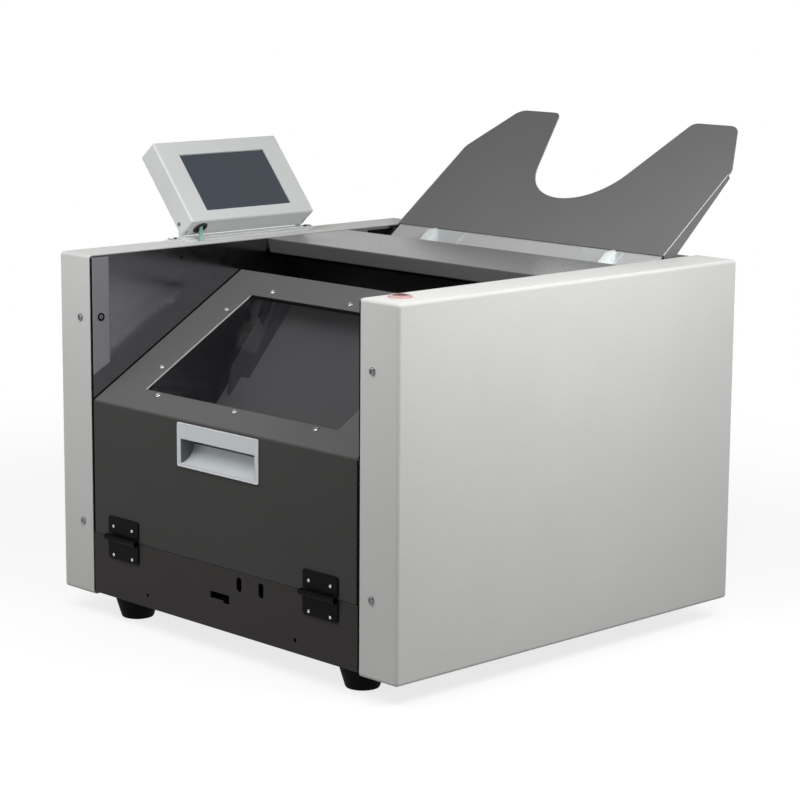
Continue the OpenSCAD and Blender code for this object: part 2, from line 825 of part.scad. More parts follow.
// Outline of the fork tray: straight sides, slanted shoulders, two prongs and a round hand cut
module tray_outline() {
  half = tray_w / 2;
  shoulder = tray_len - 77;
  prong_x = half - 38;
  prong_y = tray_len - 6;
  flank = 20;
  cut_y = tray_len - 75;
  tangent = [fork_r * cos(flank), cut_y - fork_r * sin(flank)];
  inner_x_top = tangent.x + (tray_len - tangent.y) * tan(flank);
  rim = [
    [half, 0], [half, shoulder], [prong_x, prong_y], [prong_x - 9, tray_len],
    [inner_x_top, tray_len], tangent
  ];
  corner_r = [0, 20, 18, 18, 12, 0];
  side = rounded(rim, corner_r, 0, 0, 5);
  arc = [
    for (k = [1:23])
      let (a = -flank - (180 - 2 * flank) * k / 24)
      [fork_r * cos(a), cut_y + fork_r * sin(a)]
  ];
  polygon(concat(side, arc, [for (p = reversed(side)) [-p.x, p.y]]));
}
module paper_tray() {
  flange_deep = 15;
  flange_end = 4;
  half = tray_w / 2;
  flange_stop = tray_len - 85;
  color(tray_grey) in_frame() on_feed() {
    linear_extrude(height = tray_t) tray_outline();
    both_sides() drawn_x(half - tray_t, half) polygon([
      [0, slide_gap], [0, -flange_deep], [flange_stop, -flange_end], [flange_stop, slide_gap]
    ]);
  }
}
// Bars that tie the side plates together and carry the plates, staplers and delivery plate
module tie_bars() {
  color(inner_black) in_frame() {
    on_feed() for (y = [upper_tie_y, fold_tie_y])
      cross_bar(bay_x, y, y + tie_w, -feed_t - tie_t, -feed_t);
    on_feed() cross_bar(bay_x, head_y0 - beam_d, head_y0, head_z0, beam_top);
    on_delivery() for (y = delivery_bar_y)
      cross_bar(bay_x, y, y + tie_w, -sheet_t - tie_t, -sheet_t);
  }
}
module delivery_plate() {
  foot = [delivery_foot_y, delivery_foot_z];
  color(inner_black) in_frame() drawn_x(-delivery_w / 2, delivery_w / 2) polygon(reversed(bent_sheet(
    [
      [delivery_front_y, delivery_foot_z + delivery_lip], [delivery_front_y, delivery_foot_z - sheet_t],
      foot + sheet_t * [tan(delivery_angle / 2), -1],
      delivery_top + sheet_t * [sin(delivery_angle), -cos(delivery_angle)]
    ], sheet_t, 2
  )));
}
// Two upright strips with a pointed lower end that keep the booklets square
module booklet_guides() {
  x = delivery_w / 2 - 15;
  low = delivery_len * 0.42;
  high = delivery_len - 8;
  color(inner_black) in_frame() on_delivery() both_sides() {
    drawn_x(x, x + sheet_t) polygon([
      [low, 0], [high, 0], [high, booklet_guide_h],
      [low + booklet_guide_h * 1.4, booklet_guide_h], [low, 4]
    ]);
    block([x - 14, low + booklet_guide_h * 1.4, 0], [x + slide_gap, high, sheet_t]);
  }
}

// Staple unit

module stapler_head(s) {
  x = s * staple_x;
  difference() {
    union() {
      block([x - head_w / 2, head_y0, head_z0], [x + head_w / 2, head_y1, head_z1 - head_cap_h]);
      rod_z(head_z1 - head_cap_h - slide_gap, head_z1, x, -staple_line, head_w / 2 - 2);
    }
    rod_z(head_z0 - 1, head_z1 + 1, x, -staple_line, driver_r + run_gap);
  }
}
module left_stapler_head() {
  color(inner_black) in_frame() on_feed() stapler_head(-1);
}
module right_stapler_head() {
  color(inner_black) in_frame() on_feed() stapler_head(1);
}
module staple_driver(s) {
  half = driver_r - driver_blade / 2;
  translate([s * staple_x, -staple_line, 0]) {
    rod_z(32, head_z1 + 4, 0, 0, driver_r);
    block([-half, -driver_blade / 2, driver_stroke + 4], [half, driver_blade / 2, 33]);
  }
}
module left_staple_driver() {
  color(steel) in_frame() on_feed() staple_driver(-1);
}
module right_staple_driver() {
  color(steel) in_frame() on_feed() staple_driver(1);
}
module staple_cartridges() {
  color(black) in_frame() on_feed() both_sides() translate([staple_x, head_y1, head_z0]) {
    translate([-cartridge.x / 2, 0, 2]) cube(cartridge);
    translate([-cartridge_lip.x / 2, cartridge.y - slide_gap, 6]) cube(cartridge_lip + [0, slide_gap, 0]);
  }
}
module clincher_bar() {
  half = clincher_d / 2;
  color(steel) in_frame() on_feed() {
    cross_bar(bay_x, -staple_line - half, -staple_line + half, -feed_t - clincher_h, -feed_t);
    both_sides() translate([staple_x, -staple_line, 0])
      block([-anvil.x / 2, -anvil.y / 2, -feed_t - slide_gap], [anvil.x / 2, anvil.y / 2, 0]);
  }
}

// Fold unit

// Knife blade on its carrier, with the bushes and racks that guide and drive it
module fold_knife() {
  rack_top = knife_low;
  rack_low = knife_low - rack_len_down;
  color(steel) in_frame() on_feed() difference() {
    union() {
      cross_bar(knife_x, -fold_line - knife_t / 2, -fold_line + knife_t / 2, knife_low - 1, knife_rest);
      translate([0, -fold_line, knife_low])
        cross_bar(carrier_x + 10, -carrier_d / 2, carrier_d / 2, -carrier_h, 0);
      both_sides() translate([carrier_x, -fold_line, knife_low])
        block([-10, -10, -carrier_h], [10, 10, 0]);
      both_sides() drawn_x(rack_x - rack_w / 2, rack_x + rack_w / 2) polygon([
        for (p = rack_outline(rack_low - shaft_z, rack_top - shaft_z, knife_module, rack_body + 3))
          [knife_rack_y - p.y, p.x + shaft_z]
      ]);
    }
    both_sides() rod_z(knife_low - carrier_h - 1, knife_low + 1, carrier_x, -fold_line, rod_r + run_gap);
  }
}
// Two rods between blocks on the side plates
module knife_guides() {
  rod_low = knife_low - rack_len_down - 16;
  rod_high = knife_low + knife_stroke + 16;
  color(steel) in_frame() on_feed() both_sides() {
    rod_z(rod_low, rod_high, carrier_x, -fold_line, rod_r);
    for (z = [rod_low - guide_block_h / 2, rod_high - guide_block_h / 2])
      block([carrier_x - 10, -fold_line - 6, z], [bay_x, -fold_line + 6, z + guide_block_h]);
  }
}
module knife_shaft() {
  color(steel) in_frame() on_feed() {
    rod_x(-inner_x - 22, inner_x + 2, knife_shaft_y, shaft_z, shaft_r);
    both_sides() translate([rack_x, knife_shaft_y, shaft_z])
      drawn_x(-rack_w / 2 - 2, rack_w / 2 + 2) polygon(gear_outline(knife_teeth, knife_module));
  }
}
module knife_motor() {
  color(inner_black) in_frame() on_feed() difference() {
    rod_x(-inner_x - knife_motor_len, -inner_x, knife_shaft_y, shaft_z, knife_motor_r);
    rod_x(-inner_x - 26, -inner_x + 1, knife_shaft_y, shaft_z, shaft_r + run_gap);
  }
}
// Fold roller on its shaft; the right end carries a flatted seat for its gear
module fold_roller(s) {
  y = -fold_line + s * roller_dist / 2;
  rod_x(-roller_x, roller_x, y, roller_z, roller_r);
  rod_x(-inner_x - 2, gear_x0 + gear_w + 3, y, roller_z, journal_r);
}
module upper_fold_roller() {
  color(rubber) in_frame() on_feed() fold_roller(1);
}
module lower_fold_roller() {
  color(rubber) in_frame() on_feed() fold_roller(-1);
}
module roller_gear(s) {
  y = -fold_line + s * roller_dist / 2;
  half_pitch = 180 / gear_teeth;
  difference() {
    translate([0, y, roller_z]) drawn_x(gear_x0, gear_x0 + gear_w)
      polygon(gear_outline(gear_teeth, gear_module, s > 0 ? half_pitch : 0));
    rod_x(gear_x0 - 1, gear_x0 + gear_w + 1, y, roller_z, journal_r + run_gap / 5);
  }
}
module upper_roller_gear() {
  color("#d8d4c4") in_frame() on_feed() roller_gear(1);
}
module lower_roller_gear() {
  color("#d8d4c4") in_frame() on_feed() roller_gear(-1);
}
module roller_bushes() {
  color("#b08d4a") in_frame() on_feed() both_sides() for (s = [-1, 1]) {
    y = -fold_line + s * roller_dist / 2;
    difference() {
      union() {
        rod_x(bay_x, inner_x, y, roller_z, bush_r);
        rod_x(inner_x, inner_x + bush_flange_t, y, roller_z, bush_flange_r);
      }
      rod_x(bay_x - 1, inner_x + bush_flange_t + 1, y, roller_z, journal_r + run_gap);
    }
  }
}
module drive_motor() {
  color(inner_black) in_frame() on_feed() difference() {
    rod_x(bay_x - motor_len, bay_x, motor_at.x, motor_at.y, motor_r);
    rod_x(bay_x - 15, bay_x + 1, motor_at.x, motor_at.y, motor_shaft_r + run_gap);
  }
}
module motor_pinion() {
  color(steel) in_frame() on_feed() translate([0, motor_at.x, motor_at.y]) {
    rod_x(bay_x - 12, gear_x0 + gear_w, 0, 0, motor_shaft_r);
    drawn_x(gear_x0 + 0.5, gear_x0 + gear_w - 0.5)
      polygon(gear_outline(motor_teeth, gear_module, pinion_dir + 180 + 180 / motor_teeth));
  }
}

// Paper stop

module stop_gate() {
  y1 = -stop_line;
  color(plate_grey) in_frame() on_feed() difference() {
    union() {
      cross_bar(gate_x, y1 - gate_d, y1, stop_rail_z - gate_h / 2, stop_rail_z + gate_h / 2);
      both_sides() block(
        [finger_x - finger_w / 2, y1 - finger_t, stop_rail_z],
        [finger_x + finger_w / 2, y1, finger_top]
      );
    }
    both_sides() rod_y(y1 - gate_d - 1, y1 + 1, stop_rail_x, stop_rail_z, stop_rail_r + run_gap);
    rod_y(y1 - gate_d - 1, y1 + 1, 0, stop_rail_z, stop_screw_r + run_gap);
  }
}
// Two rods between cross bars, which also carry the lower guide plate and the screw
module stop_rails() {
  color(steel) in_frame() on_feed() difference() {
    union() {
      for (y = [lower_rail_y, upper_rail_y])
        cross_bar(bay_x, y, y + rail_bar, stop_rail_z - gate_h / 2, -feed_t);
      both_sides() rod_y(lower_rail_y + 1, upper_rail_y + 1, stop_rail_x, stop_rail_z, stop_rail_r);
    }
    rod_y(lower_rail_y - 1, upper_rail_y + 6, 0, stop_rail_z, stop_screw_r + run_gap);
  }
}
module stop_screw() {
  color(steel) in_frame() on_feed()
    rod_y(lower_rail_y - 14, upper_rail_y + 5, 0, stop_rail_z, stop_screw_r);
}
module stop_motor() {
  side = stop_motor_side / 2;
  color(inner_black) in_frame() on_feed() difference() {
    translate([0, lower_rail_y, stop_rail_z]) drawn_y(-stop_motor_len, 0)
      polygon(rounded_rect([-side, -side], [side, side], 4, 3));
    rod_y(lower_rail_y - 16, lower_rail_y + 1, 0, stop_rail_z, stop_screw_r + run_gap);
  }
}

// Paper side guides

// The right guide (side 1) or the left one (side -1): foot, upright wall, stem and rack
module paper_guide(side) {
  y1 = guide_top_y;
  y0 = y1 - guide_len;
  x = guide_wall;
  rack_y = pinion_y - side * pinion_pitch_r;
  stem_y = rack_y - side * rack_body / 2;
  round_r = guide_h - 4;
  wall = concat(
    [[y0, slide_gap], [y1, slide_gap], [y1, guide_h]],
    [for (k = [0:6]) [y0 + round_r * (1 - sin(15 * k)), guide_h - round_r * (1 - cos(15 * k))]]
  );
  mirror([side > 0 ? 0 : 1, 0, 0]) {
    drawn_x(x, x + guide_wall_t) polygon(wall);
    block([x - guide_base, y0, slide_gap], [x + guide_foot, y1, slide_gap + guide_wall_t]);
    block(
      [guide_stem, stem_y - stem_t / 2, rack_z0],
      [guide_stem + stem_w, stem_y + stem_t / 2, slide_gap + 1]
    );
    translate([0, 0, rack_z0]) linear_extrude(height = rack_z1 - rack_z0) polygon([
      for (p = rack_outline(-guide_in + 8, guide_stem + stem_w, pinion_module, rack_body))
        [p.x, rack_y + side * p.y]
    ]);
  }
}
module left_paper_guide() {
  color(steel) in_frame() on_feed() paper_guide(-1);
}
module right_paper_guide() {
  color(steel) in_frame() on_feed() paper_guide(1);
}
module guide_pinion() {
  color("#d8d4c4") in_frame() on_feed() translate([0, pinion_y, 0]) difference() {
    translate([0, 0, rack_z0]) linear_extrude(height = rack_z1 - rack_z0 - 0.5)
      polygon(gear_outline(pinion_teeth, pinion_module, 90));
    rod_z(rack_z0 - 1, 0, 0, 0, stud_r + run_gap);
  }
}

// Controls

// Housing with a sunk screen; a slot in its lower edge by each end lets in an ear of the bracket
module control_box() {
  y0 = (box_len - screen_w) / 2;
  screen_x = box_depth - screen_recess - screen_t;
  color(box_grey) in_frame() on_box() difference() {
    rounded_block([0, 0, 0], [box_depth, box_len, box_face], box_edge_r);
    block(
      [box_wall, box_wall, box_wall],
      [screen_x - box_wall, box_len - box_wall, box_face - box_wall]
    );
    block(
      [box_depth - screen_recess, y0, screen_low],
      [box_depth + 1, y0 + screen_w, screen_low + screen_h]
    );
    block(
      [screen_x, y0 + fit_gap, screen_low + fit_gap],
      [box_depth, y0 + screen_w - fit_gap, screen_low + screen_h - fit_gap]
    );
    rod_z(-1, box_wall + 1, cable_out, cable_in, cable_hole_r);
    for (y = [box_wall, box_len - box_wall - ear_slot])
      block([-1, y, -1], [pivot_in + ear_r, y + ear_slot, pivot_up + ear_r]);
    for (y = [0, box_len])
      rod_y(y - box_wall - 1, y + box_wall + 1, pivot_in, pivot_up, pivot_r + run_gap);
  }
}
module touch_screen() {
  y0 = (box_len - screen_w) / 2 + 2 * fit_gap;
  z0 = screen_low + 2 * fit_gap;
  color("#48505a") in_frame() on_box() block(
    [box_depth - screen_recess - screen_t, y0, z0],
    [box_depth - screen_recess, y0 + screen_w - 4 * fit_gap, z0 + screen_h - 4 * fit_gap]
  );
}
// Base strip on the cover with an ear inside each end of the box and a foot beyond it
module panel_bracket() {
  inset = box_wall + ear_gap;
  ear_y = [box_y + inset, box_y + box_len - inset - bracket_t];
  foot_y = [box_y - bracket_foot.y, box_y + box_len - slide_gap];
  ear_foot = body_h + bracket_t - slide_gap;
  color(cover_grey) in_frame() difference() {
    union() {
      translate([pivot_x - 0.45 * bracket_w, box_y, body_h]) cube([bracket_w, box_len, bracket_t]);
      for (y = ear_y) {
        block([pivot_x - ear_r, y, ear_foot], [pivot_x + ear_r, y + bracket_t, pivot_z]);
        rod_y(y, y + bracket_t, pivot_x, pivot_z, ear_r);
      }
      for (y = foot_y)
        translate([pivot_x - bracket_foot.x / 2, y, body_h])
          cube([bracket_foot.x, bracket_foot.y + slide_gap, bracket_t]);
    }
    for (y = ear_y)
      rod_y(y - 1, y + bracket_t + 1, pivot_x, pivot_z, pivot_r + run_gap);
    rod_z(body_h - 1, body_h + bracket_t + 1, cable_foot.x, cable_foot.y, cable_r + 2);
  }
}
module panel_pivot_screws() {
  length = slide_gap + box_wall + ear_gap + bracket_t + 1;
  color(steel) in_frame() {
    translate([pivot_x, box_y - slide_gap, pivot_z])
      pan_screw(pivot_r, pivot_head_d, pivot_head_h, length);
    translate([pivot_x, box_y + box_len + slide_gap, pivot_z]) rotate([0, 0, 180])
      pan_screw(pivot_r, pivot_head_d, pivot_head_h, length);
  }
}
// Lead from the control box down through the cover's top
module panel_cable() {
  top = box_edge.y + cable_out * sin(box_tilt) + 1;
  color(teal) in_frame() rod_z(body_h - 12, top, cable_foot.x, cable_foot.y, cable_r);
}
module button_bezel() {
  r = bezel_d / 2;
  color("#8c2f2a") in_frame() translate([button_x, button_y, body_h]) difference() {
    union() {
      rod_z(0, bezel_h, 0, 0, r);
      rod_z(-button_body_h, slide_gap, 0, 0, r - 2);
    }
    rod_z(-button_body_h + 2, bezel_h + 1, 0, 0, button_r + fit_gap);
  }
}
module button_cap() {
  color("#a5564e") in_frame() translate([button_x, button_y, body_h])
    rod_z(-button_body_h + 2 + button_travel + 0.5, bezel_h - 0.5 + 1, 0, 0, button_r);
}

// Electrical pieces

// Socket and switch frame in the rear cover
module power_inlet() {
  rim = [inlet_w / 2, inlet_h / 2];
  body = rim - (inlet_rim + fit_gap) * [1, 1];
  mouth = [socket_w / 2, socket_h / 2];
  slant = mouth - socket_corner * [1, 1];
  color(black) in_frame() translate([inlet_x, body_d, inlet_z]) difference() {
    union() {
      drawn_y(0, 2.5) polygon(rounded_rect(-rim, rim, 3));
      block([-body.x, -inlet_depth, -body.y], [body.x, slide_gap, body.y]);
    }
    drawn_y(-16, 3) translate([0, -12]) polygon([
      -mouth, [mouth.x, -mouth.y], [mouth.x, slant.y],
      [slant.x, mouth.y], [-slant.x, mouth.y], [-mouth.x, slant.y]
    ]);
    block([-rocker_w / 2 - fit_gap, -14, rocker_low], [rocker_w / 2 + fit_gap, 4, rocker_high]);
  }
}
module power_rocker() {
  half = rocker_h / 2;
  root = -rocker_in - 4;
  color("#3a1513") in_frame() translate([inlet_x, body_d, inlet_z + rocker_mid])
    drawn_x(-rocker_w / 2, rocker_w / 2)
      polygon([[root, -3], [root, 3], [0, half], [4, half], [2.2, 0], [1, -half], [-1, -half]]);
}
module power_supply() {
  slots = 10;
  pitch = (supply_size.y - 30) / slots;
  color(plate_grey) in_frame() translate(supply_at) difference() {
    cube(supply_size);
    for (k = [0:slots - 1])
      translate([12, 15 + pitch * k, supply_size.z - 2]) cube([supply_size.x - 24, 5, 3]);
  }
}
module control_board() {
  inset = 6;
  chip = [35, 35, 4];
  coil = [30, 22, 14];
  color(board_green) in_frame() translate(board_at) {
    cube(board_size);
    for (x = [inset, board_size.x - inset])
      for (y = [inset, board_size.y - inset])
        rod_z(base_t - board_at.z, slide_gap, x, y, inset / 2);
    translate([20, 15, board_size.z - slide_gap]) cube(chip);
    translate([75, 50, board_size.z - slide_gap]) cube(coil);
  }
}

left_side_cover();
right_side_cover();
left_side_plate();
right_side_plate();
base_plate();
lower_front_panel();
rear_cover();
cross_cover();
rubber_feet();
cover_screws();
feed_plate();
lower_guide_plate();
paper_tray();
tie_bars();
delivery_plate();
booklet_guides();
front_door();
window_pane();
window_screws();
door_handle();
hinge_frame_leaves();
hinge_door_leaves();
hinge_pins();
hinge_frame_screws();
hinge_door_screws();
left_stapler_head();
right_stapler_head();
left_staple_driver();
right_staple_driver();
staple_cartridges();
clincher_bar();
fold_knife();
knife_guides();
knife_shaft();
knife_motor();
upper_fold_roller();
lower_fold_roller();
upper_roller_gear();
lower_roller_gear();
roller_bushes();
drive_motor();
motor_pinion();
stop_gate();
stop_rails();
stop_screw();
stop_motor();
left_paper_guide();
right_paper_guide();
guide_pinion();
control_box();
touch_screen();
panel_bracket();
panel_pivot_screws();
panel_cable();
button_bezel();
button_cap();
power_inlet();
power_rocker();
power_supply();
control_board();
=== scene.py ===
# Desk booklet maker: fine pieces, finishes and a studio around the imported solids
import json
import math
import bmesh
import bpy
import numpy as np
from mathutils import Matrix


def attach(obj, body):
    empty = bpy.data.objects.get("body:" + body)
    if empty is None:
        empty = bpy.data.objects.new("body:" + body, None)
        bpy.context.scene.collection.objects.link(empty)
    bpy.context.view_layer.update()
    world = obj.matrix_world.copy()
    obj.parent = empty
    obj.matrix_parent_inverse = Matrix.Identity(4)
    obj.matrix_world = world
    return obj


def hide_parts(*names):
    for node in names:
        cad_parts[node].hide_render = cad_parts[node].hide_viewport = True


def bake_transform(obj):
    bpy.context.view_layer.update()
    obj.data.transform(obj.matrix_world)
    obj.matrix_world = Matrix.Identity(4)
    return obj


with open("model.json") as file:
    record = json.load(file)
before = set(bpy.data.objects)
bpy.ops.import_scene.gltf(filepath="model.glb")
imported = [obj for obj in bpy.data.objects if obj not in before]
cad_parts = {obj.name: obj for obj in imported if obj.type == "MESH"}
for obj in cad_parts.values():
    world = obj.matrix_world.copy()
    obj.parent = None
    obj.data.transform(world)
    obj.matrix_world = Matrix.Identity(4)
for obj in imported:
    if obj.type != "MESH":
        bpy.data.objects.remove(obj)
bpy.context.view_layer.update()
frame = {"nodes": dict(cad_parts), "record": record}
nodes = frame["nodes"]
mm = 0.001
joinWithin = 4e-6  # metres
flatWithin = 0.6  # degrees
sharpFrom = 32  # degrees
sheetBevel = 0.35  # millimetres
mouldBevel = 0.4  # millimetres
caseShift = np.array([0.0, -272.0, 30.0])  # machine millimetres to the shared frame
bodyOf = {n: body for body, names in frame["record"]["behaviour"]["bodies"].items() for n in names}
slotOf = {part["node"]: part["material_slot"] for part in frame["record"]["subparts"]}
print("frame loaded,", len(nodes), "solids")


# Places: each turns local millimetres into machine millimetres
def axesAt(origin, xAxis=(1, 0, 0), yAxis=(0, 1, 0), zAxis=(0, 0, 1)):
    turn = np.array([xAxis, yAxis, zAxis], float)
    start = np.array(origin, float)
    return lambda points: np.asarray(points, float) @ turn + start


def slopeAt(origin, angle):
    # Y runs up a slope of this angle, Z stands square on it
    c, s = math.cos(math.radians(angle)), math.sin(math.radians(angle))
    return axesAt(origin, (1, 0, 0), (0, c, s), (0, -s, c))


def turnedTo(origin, normal, spin=0.0):
    # Z along the normal, X and Y square to it and turned about it
    z = np.array(normal, float) / np.linalg.norm(normal)
    side = np.cross((0, 0, 1) if abs(z[2]) < 0.9 else (0, 1, 0), z)
    side /= np.linalg.norm(side)
    a = math.radians(spin)
    x = math.cos(a) * side + math.sin(a) * np.cross(z, side)
    return axesAt(origin, x, np.cross(z, x), z)


boxTilt = math.radians(40)
boxOut = (math.cos(boxTilt), 0, math.sin(boxTilt))
boxUp = (-math.sin(boxTilt), 0, math.cos(boxTilt))
onSlope = slopeAt((0, 0, 230.5), 30.6)
onFeed = slopeAt((0, 490, 401), 37.15)
onBox = axesAt((-268, 167, 405), boxOut, (0, 1, 0), boxUp)


# Shapes: every one gives points in local millimetres and faces as lists of indices
def grid(points, wrapU=False, wrapV=False, keep=None):
    # points[u, v] joined to quads; keep[u, v] says which quads stay
    rows, columns = points.shape[:2]
    u = np.arange(rows if wrapU else rows - 1)[:, None]
    v = np.arange(columns if wrapV else columns - 1)[None, :]
    up, right = (u + 1) % rows, (v + 1) % columns
    corners = [u * columns + v, up * columns + v, up * columns + right, u * columns + right]
    quads = np.stack(corners, -1)
    quads = quads.reshape(-1, 4) if keep is None else quads[keep]
    return points.reshape(-1, 3), quads.tolist()


def loft(rings, first=True):
    # closed rings of equal count joined in order, with a face on each end; the first can stay open
    rings = np.asarray(rings, float)
    points, faces = grid(rings, wrapV=True)
    count = rings.shape[1]
    if first:
        faces.append(list(range(count)))
    faces.append(list(range(len(points) - count, len(points)))[::-1])
    return points, faces


def roundRect(a0, a1, b0, b1, r, steps=6):
    # four quarter circles of radius r at the corners of a rectangle
    turn = np.radians(np.linspace(0, 90, steps)[None, :] + np.array([-90, 0, 90, 180])[:, None])
    centreA = np.array([a1 - r, a1 - r, a0 + r, a0 + r])[:, None]
    centreB = np.array([b0 + r, b1 - r, b1 - r, b0 + r])[:, None]
    return np.stack([centreA + r * np.cos(turn), centreB + r * np.sin(turn)], -1).reshape(-1, 2)


def endRound(at, r, direction, steps=6):
    # (place, inset) pairs of a quarter round that ends at a face
    t = np.radians(np.linspace(90, 0, steps))
    return [(at - direction * r * (1 - math.cos(a)), r * (1 - math.sin(a))) for a in t]


def slab(low, high, stations, r, axis=0, first=True, steps=6):
    # rounded rectangles of the box's cross-section at (place, inset) stations along one axis
    a, b = [k for k in range(3) if k != axis]
    rings = []
    for place, inset in stations:
        flat = roundRect(low[a] + inset, high[a] - inset, low[b] + inset, high[b] - inset,
                         max(r - inset, 0.05), steps)
        ring = np.empty((len(flat), 3))
        ring[:, axis], ring[:, a], ring[:, b] = place, flat[:, 0], flat[:, 1]
        rings.append(ring)
    return loft(rings, first)


def bar(spans, r, axis=0, cornerR=None, steps=4):
    # a box between the (low, high) pairs of X, Y and Z, with its end edges and its long edges rounded
    low, high = np.array(spans, float).T
    ends = endRound(low[axis], r, -1, steps)[::-1] + endRound(high[axis], r, 1, steps)
    return slab(low, high, ends, cornerR or r, axis, steps=steps)


def prism(outline, low, high):
    # a flat outline in Y and Z carried straight along X
    outline = np.asarray(outline, float)
    return loft([np.insert(outline, 0, x, axis=1) for x in (low, high)])


def lathe(profile, count=48):
    # (radius, height) pairs turned about Z
    profile = np.asarray(profile, float)
    turn = np.linspace(0, 2 * np.pi, count, endpoint=False)
    r, z = profile[:, :1], profile[:, 1:]
    points = np.stack([r * np.cos(turn), r * np.sin(turn), z + 0 * turn], -1)
    return grid(points, wrapV=True)


def tube(path, radius, count=20):
    # a circle carried along a path, square to it, ends closed
    path = np.asarray(path, float)
    along = np.gradient(path, axis=0)
    along /= np.linalg.norm(along, axis=1)[:, None]
    side = np.cross(along, (0.0, 1.0, 0.02))
    side /= np.linalg.norm(side, axis=1)[:, None]
    other = np.cross(along, side)
    turn = np.linspace(0, 2 * np.pi, count, endpoint=False)[None, :, None]
    ring = np.cos(turn) * side[:, None] + np.sin(turn) * other[:, None]
    return loft(path[:, None] + radius * ring)


def screwHead(width, height, recess=0.6, style="cross"):
    # pan head: a dome over a short wall, with a cross or a hexagon sunk into its middle
    share = np.array([0, 1, 1, 0.985, 0.94, 0.87, 0.79, 0.71, 0.64, 0.57, 0.5, 0.43, 0.36, 0.29, 0.22,
                      0.15, 0.08, 0.0])
    lift = np.array([0, 0, 0.42, 0.56, 0.7, 0.81, 0.89, 0.94, 0.97, 0.985, 1, 1, 1, 1, 1, 1, 1, 1])
    turn = np.linspace(0, 2 * np.pi, 48, endpoint=False)[None, :]
    r = (share * width / 2)[:, None]
    x, y = r * np.cos(turn), r * np.sin(turn)
    if style == "cross":
        near, far = np.minimum(abs(x), abs(y)), np.maximum(abs(x), abs(y))
        arm = np.clip((0.095 * width - near) / (0.03 * width), 0, 1)
        sunk = arm * np.clip((0.32 * width - far) / (0.06 * width), 0, 1)
    else:
        wedge = np.cos((turn + np.pi / 6) % (np.pi / 3) - np.pi / 6)
        sunk = np.clip((0.24 * width - r * wedge) / (0.02 * width), 0, 1)
    z = height * lift[:, None] - recess * height * sunk * (lift[:, None] > 0.5)
    return grid(np.stack([x, y, z], -1), wrapV=True)


def washer(width, height, count=32):
    # a flat disc with a broken edge
    w = width / 2
    return lathe([(0, 0), (w, 0), (w, height - 0.2), (w - 0.3, height), (0, height)], count)


def placed(shape, place):
    return place(shape[0]), shape[1]


def mirrored(shape):
    return shape[0] * (-1, 1, 1), shape[1]


# Pieces: a mesh from shapes, or a softened copy of a solid
def addObject(name, mesh, body, material, stands):
    piece = bpy.data.objects.new(name, mesh)
    bpy.context.scene.collection.objects.link(piece)
    mesh.materials.clear()
    mesh.materials.append(material)
    if body:
        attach(piece, body)
    if stands:
        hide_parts(*stands)
    return piece


def tidyMesh(mesh, shell, flatten=False, sharp=sharpFrom, cut=None):
    # joins doubles, takes off what lies beyond a plane, turns faces outwards and marks the sharp edges
    work = bmesh.new()
    work.from_mesh(mesh)
    bmesh.ops.remove_doubles(work, verts=work.verts, dist=joinWithin)
    if cut:
        whole = work.verts[:] + work.edges[:] + work.faces[:]
        bmesh.ops.bisect_plane(work, geom=whole, plane_co=cut[0], plane_no=cut[1], clear_outer=True)
        bmesh.ops.holes_fill(work, edges=[e for e in work.edges if e.is_boundary])
    if flatten:
        bmesh.ops.dissolve_limit(work, angle_limit=math.radians(flatWithin), verts=work.verts,
                                 edges=work.edges)
    if shell:
        spots = np.array([f.calc_center_median() for f in work.faces])
        facing = np.array([f.normal * f.calc_area() for f in work.faces])
        if ((spots - spots.mean(0)) * facing).sum() < 0:
            bmesh.ops.reverse_faces(work, faces=work.faces)
    else:
        bmesh.ops.recalc_face_normals(work, faces=work.faces)
    work.to_mesh(mesh)
    work.free()
    mesh.shade_smooth()
    mesh.set_sharp_from_angle(angle=math.radians(sharp))


def soften(piece, wall=0.0, bevel=0.0):
    # a sheet's thickness, then small rounded edges that catch the light
    if wall:
        thick = piece.modifiers.new("wall", "SOLIDIFY")
        thick.thickness = wall * mm
        thick.offset = -1
        thick.use_even_offset = True
    if bevel:
        edge = piece.modifiers.new("edge", "BEVEL")
        edge.width = bevel * mm
        edge.segments = 2
        edge.limit_method = "ANGLE"
        edge.angle_limit = math.radians(sharpFrom)
        edge.miter_outer = "MITER_ARC"
    even = piece.modifiers.new("even", "WEIGHTED_NORMAL")
    even.keep_sharp = True
    return piece


def addPiece(name, shapes, body, material, stands=(), wall=0.0, bevel=0.0, sharp=sharpFrom):
    # several shapes as one mesh; a wall makes a sheet of an open shape
    starts = np.cumsum([0] + [len(points) for points, faces in shapes]).tolist()
    points = np.concatenate([points for points, faces in shapes])
    faces = [[i + start for i in face] for (_, group), start in zip(shapes, starts) for face in group]
    mesh = bpy.data.meshes.new(name)
    mesh.from_pydata(((points + caseShift) * mm).tolist(), [], faces)
    tidyMesh(mesh, shell=wall > 0, sharp=sharp)
    return soften(addObject(name, mesh, body, material, stands), wall, bevel)


def addCopy(node, bevel=sheetBevel, name=None, flatten=True, cut=None):
    # the solid's own mesh and finish, joined and with softened edges; without flatten it keeps its triangles
    mesh = nodes[node].data.copy()
    tidyMesh(mesh, shell=False, flatten=flatten, cut=cut)
    first, *rest = node.split("_")
    mesh.name = name or first + "".join(word.capitalize() for word in rest) + "Piece"
    material = nodes[node].data.materials[0]
    return soften(addObject(mesh.name, mesh, bodyOf[node], material, [node]), 0.0, bevel)


# Finishes
def lin(code, alpha=1.0):
    # sRGB hex to linear
    c = np.array([int(code[i:i + 2], 16) for i in (1, 3, 5)]) / 255
    return (*np.where(c <= 0.04045, c / 12.92, ((c + 0.055) / 1.055) ** 2.4).tolist(), alpha)


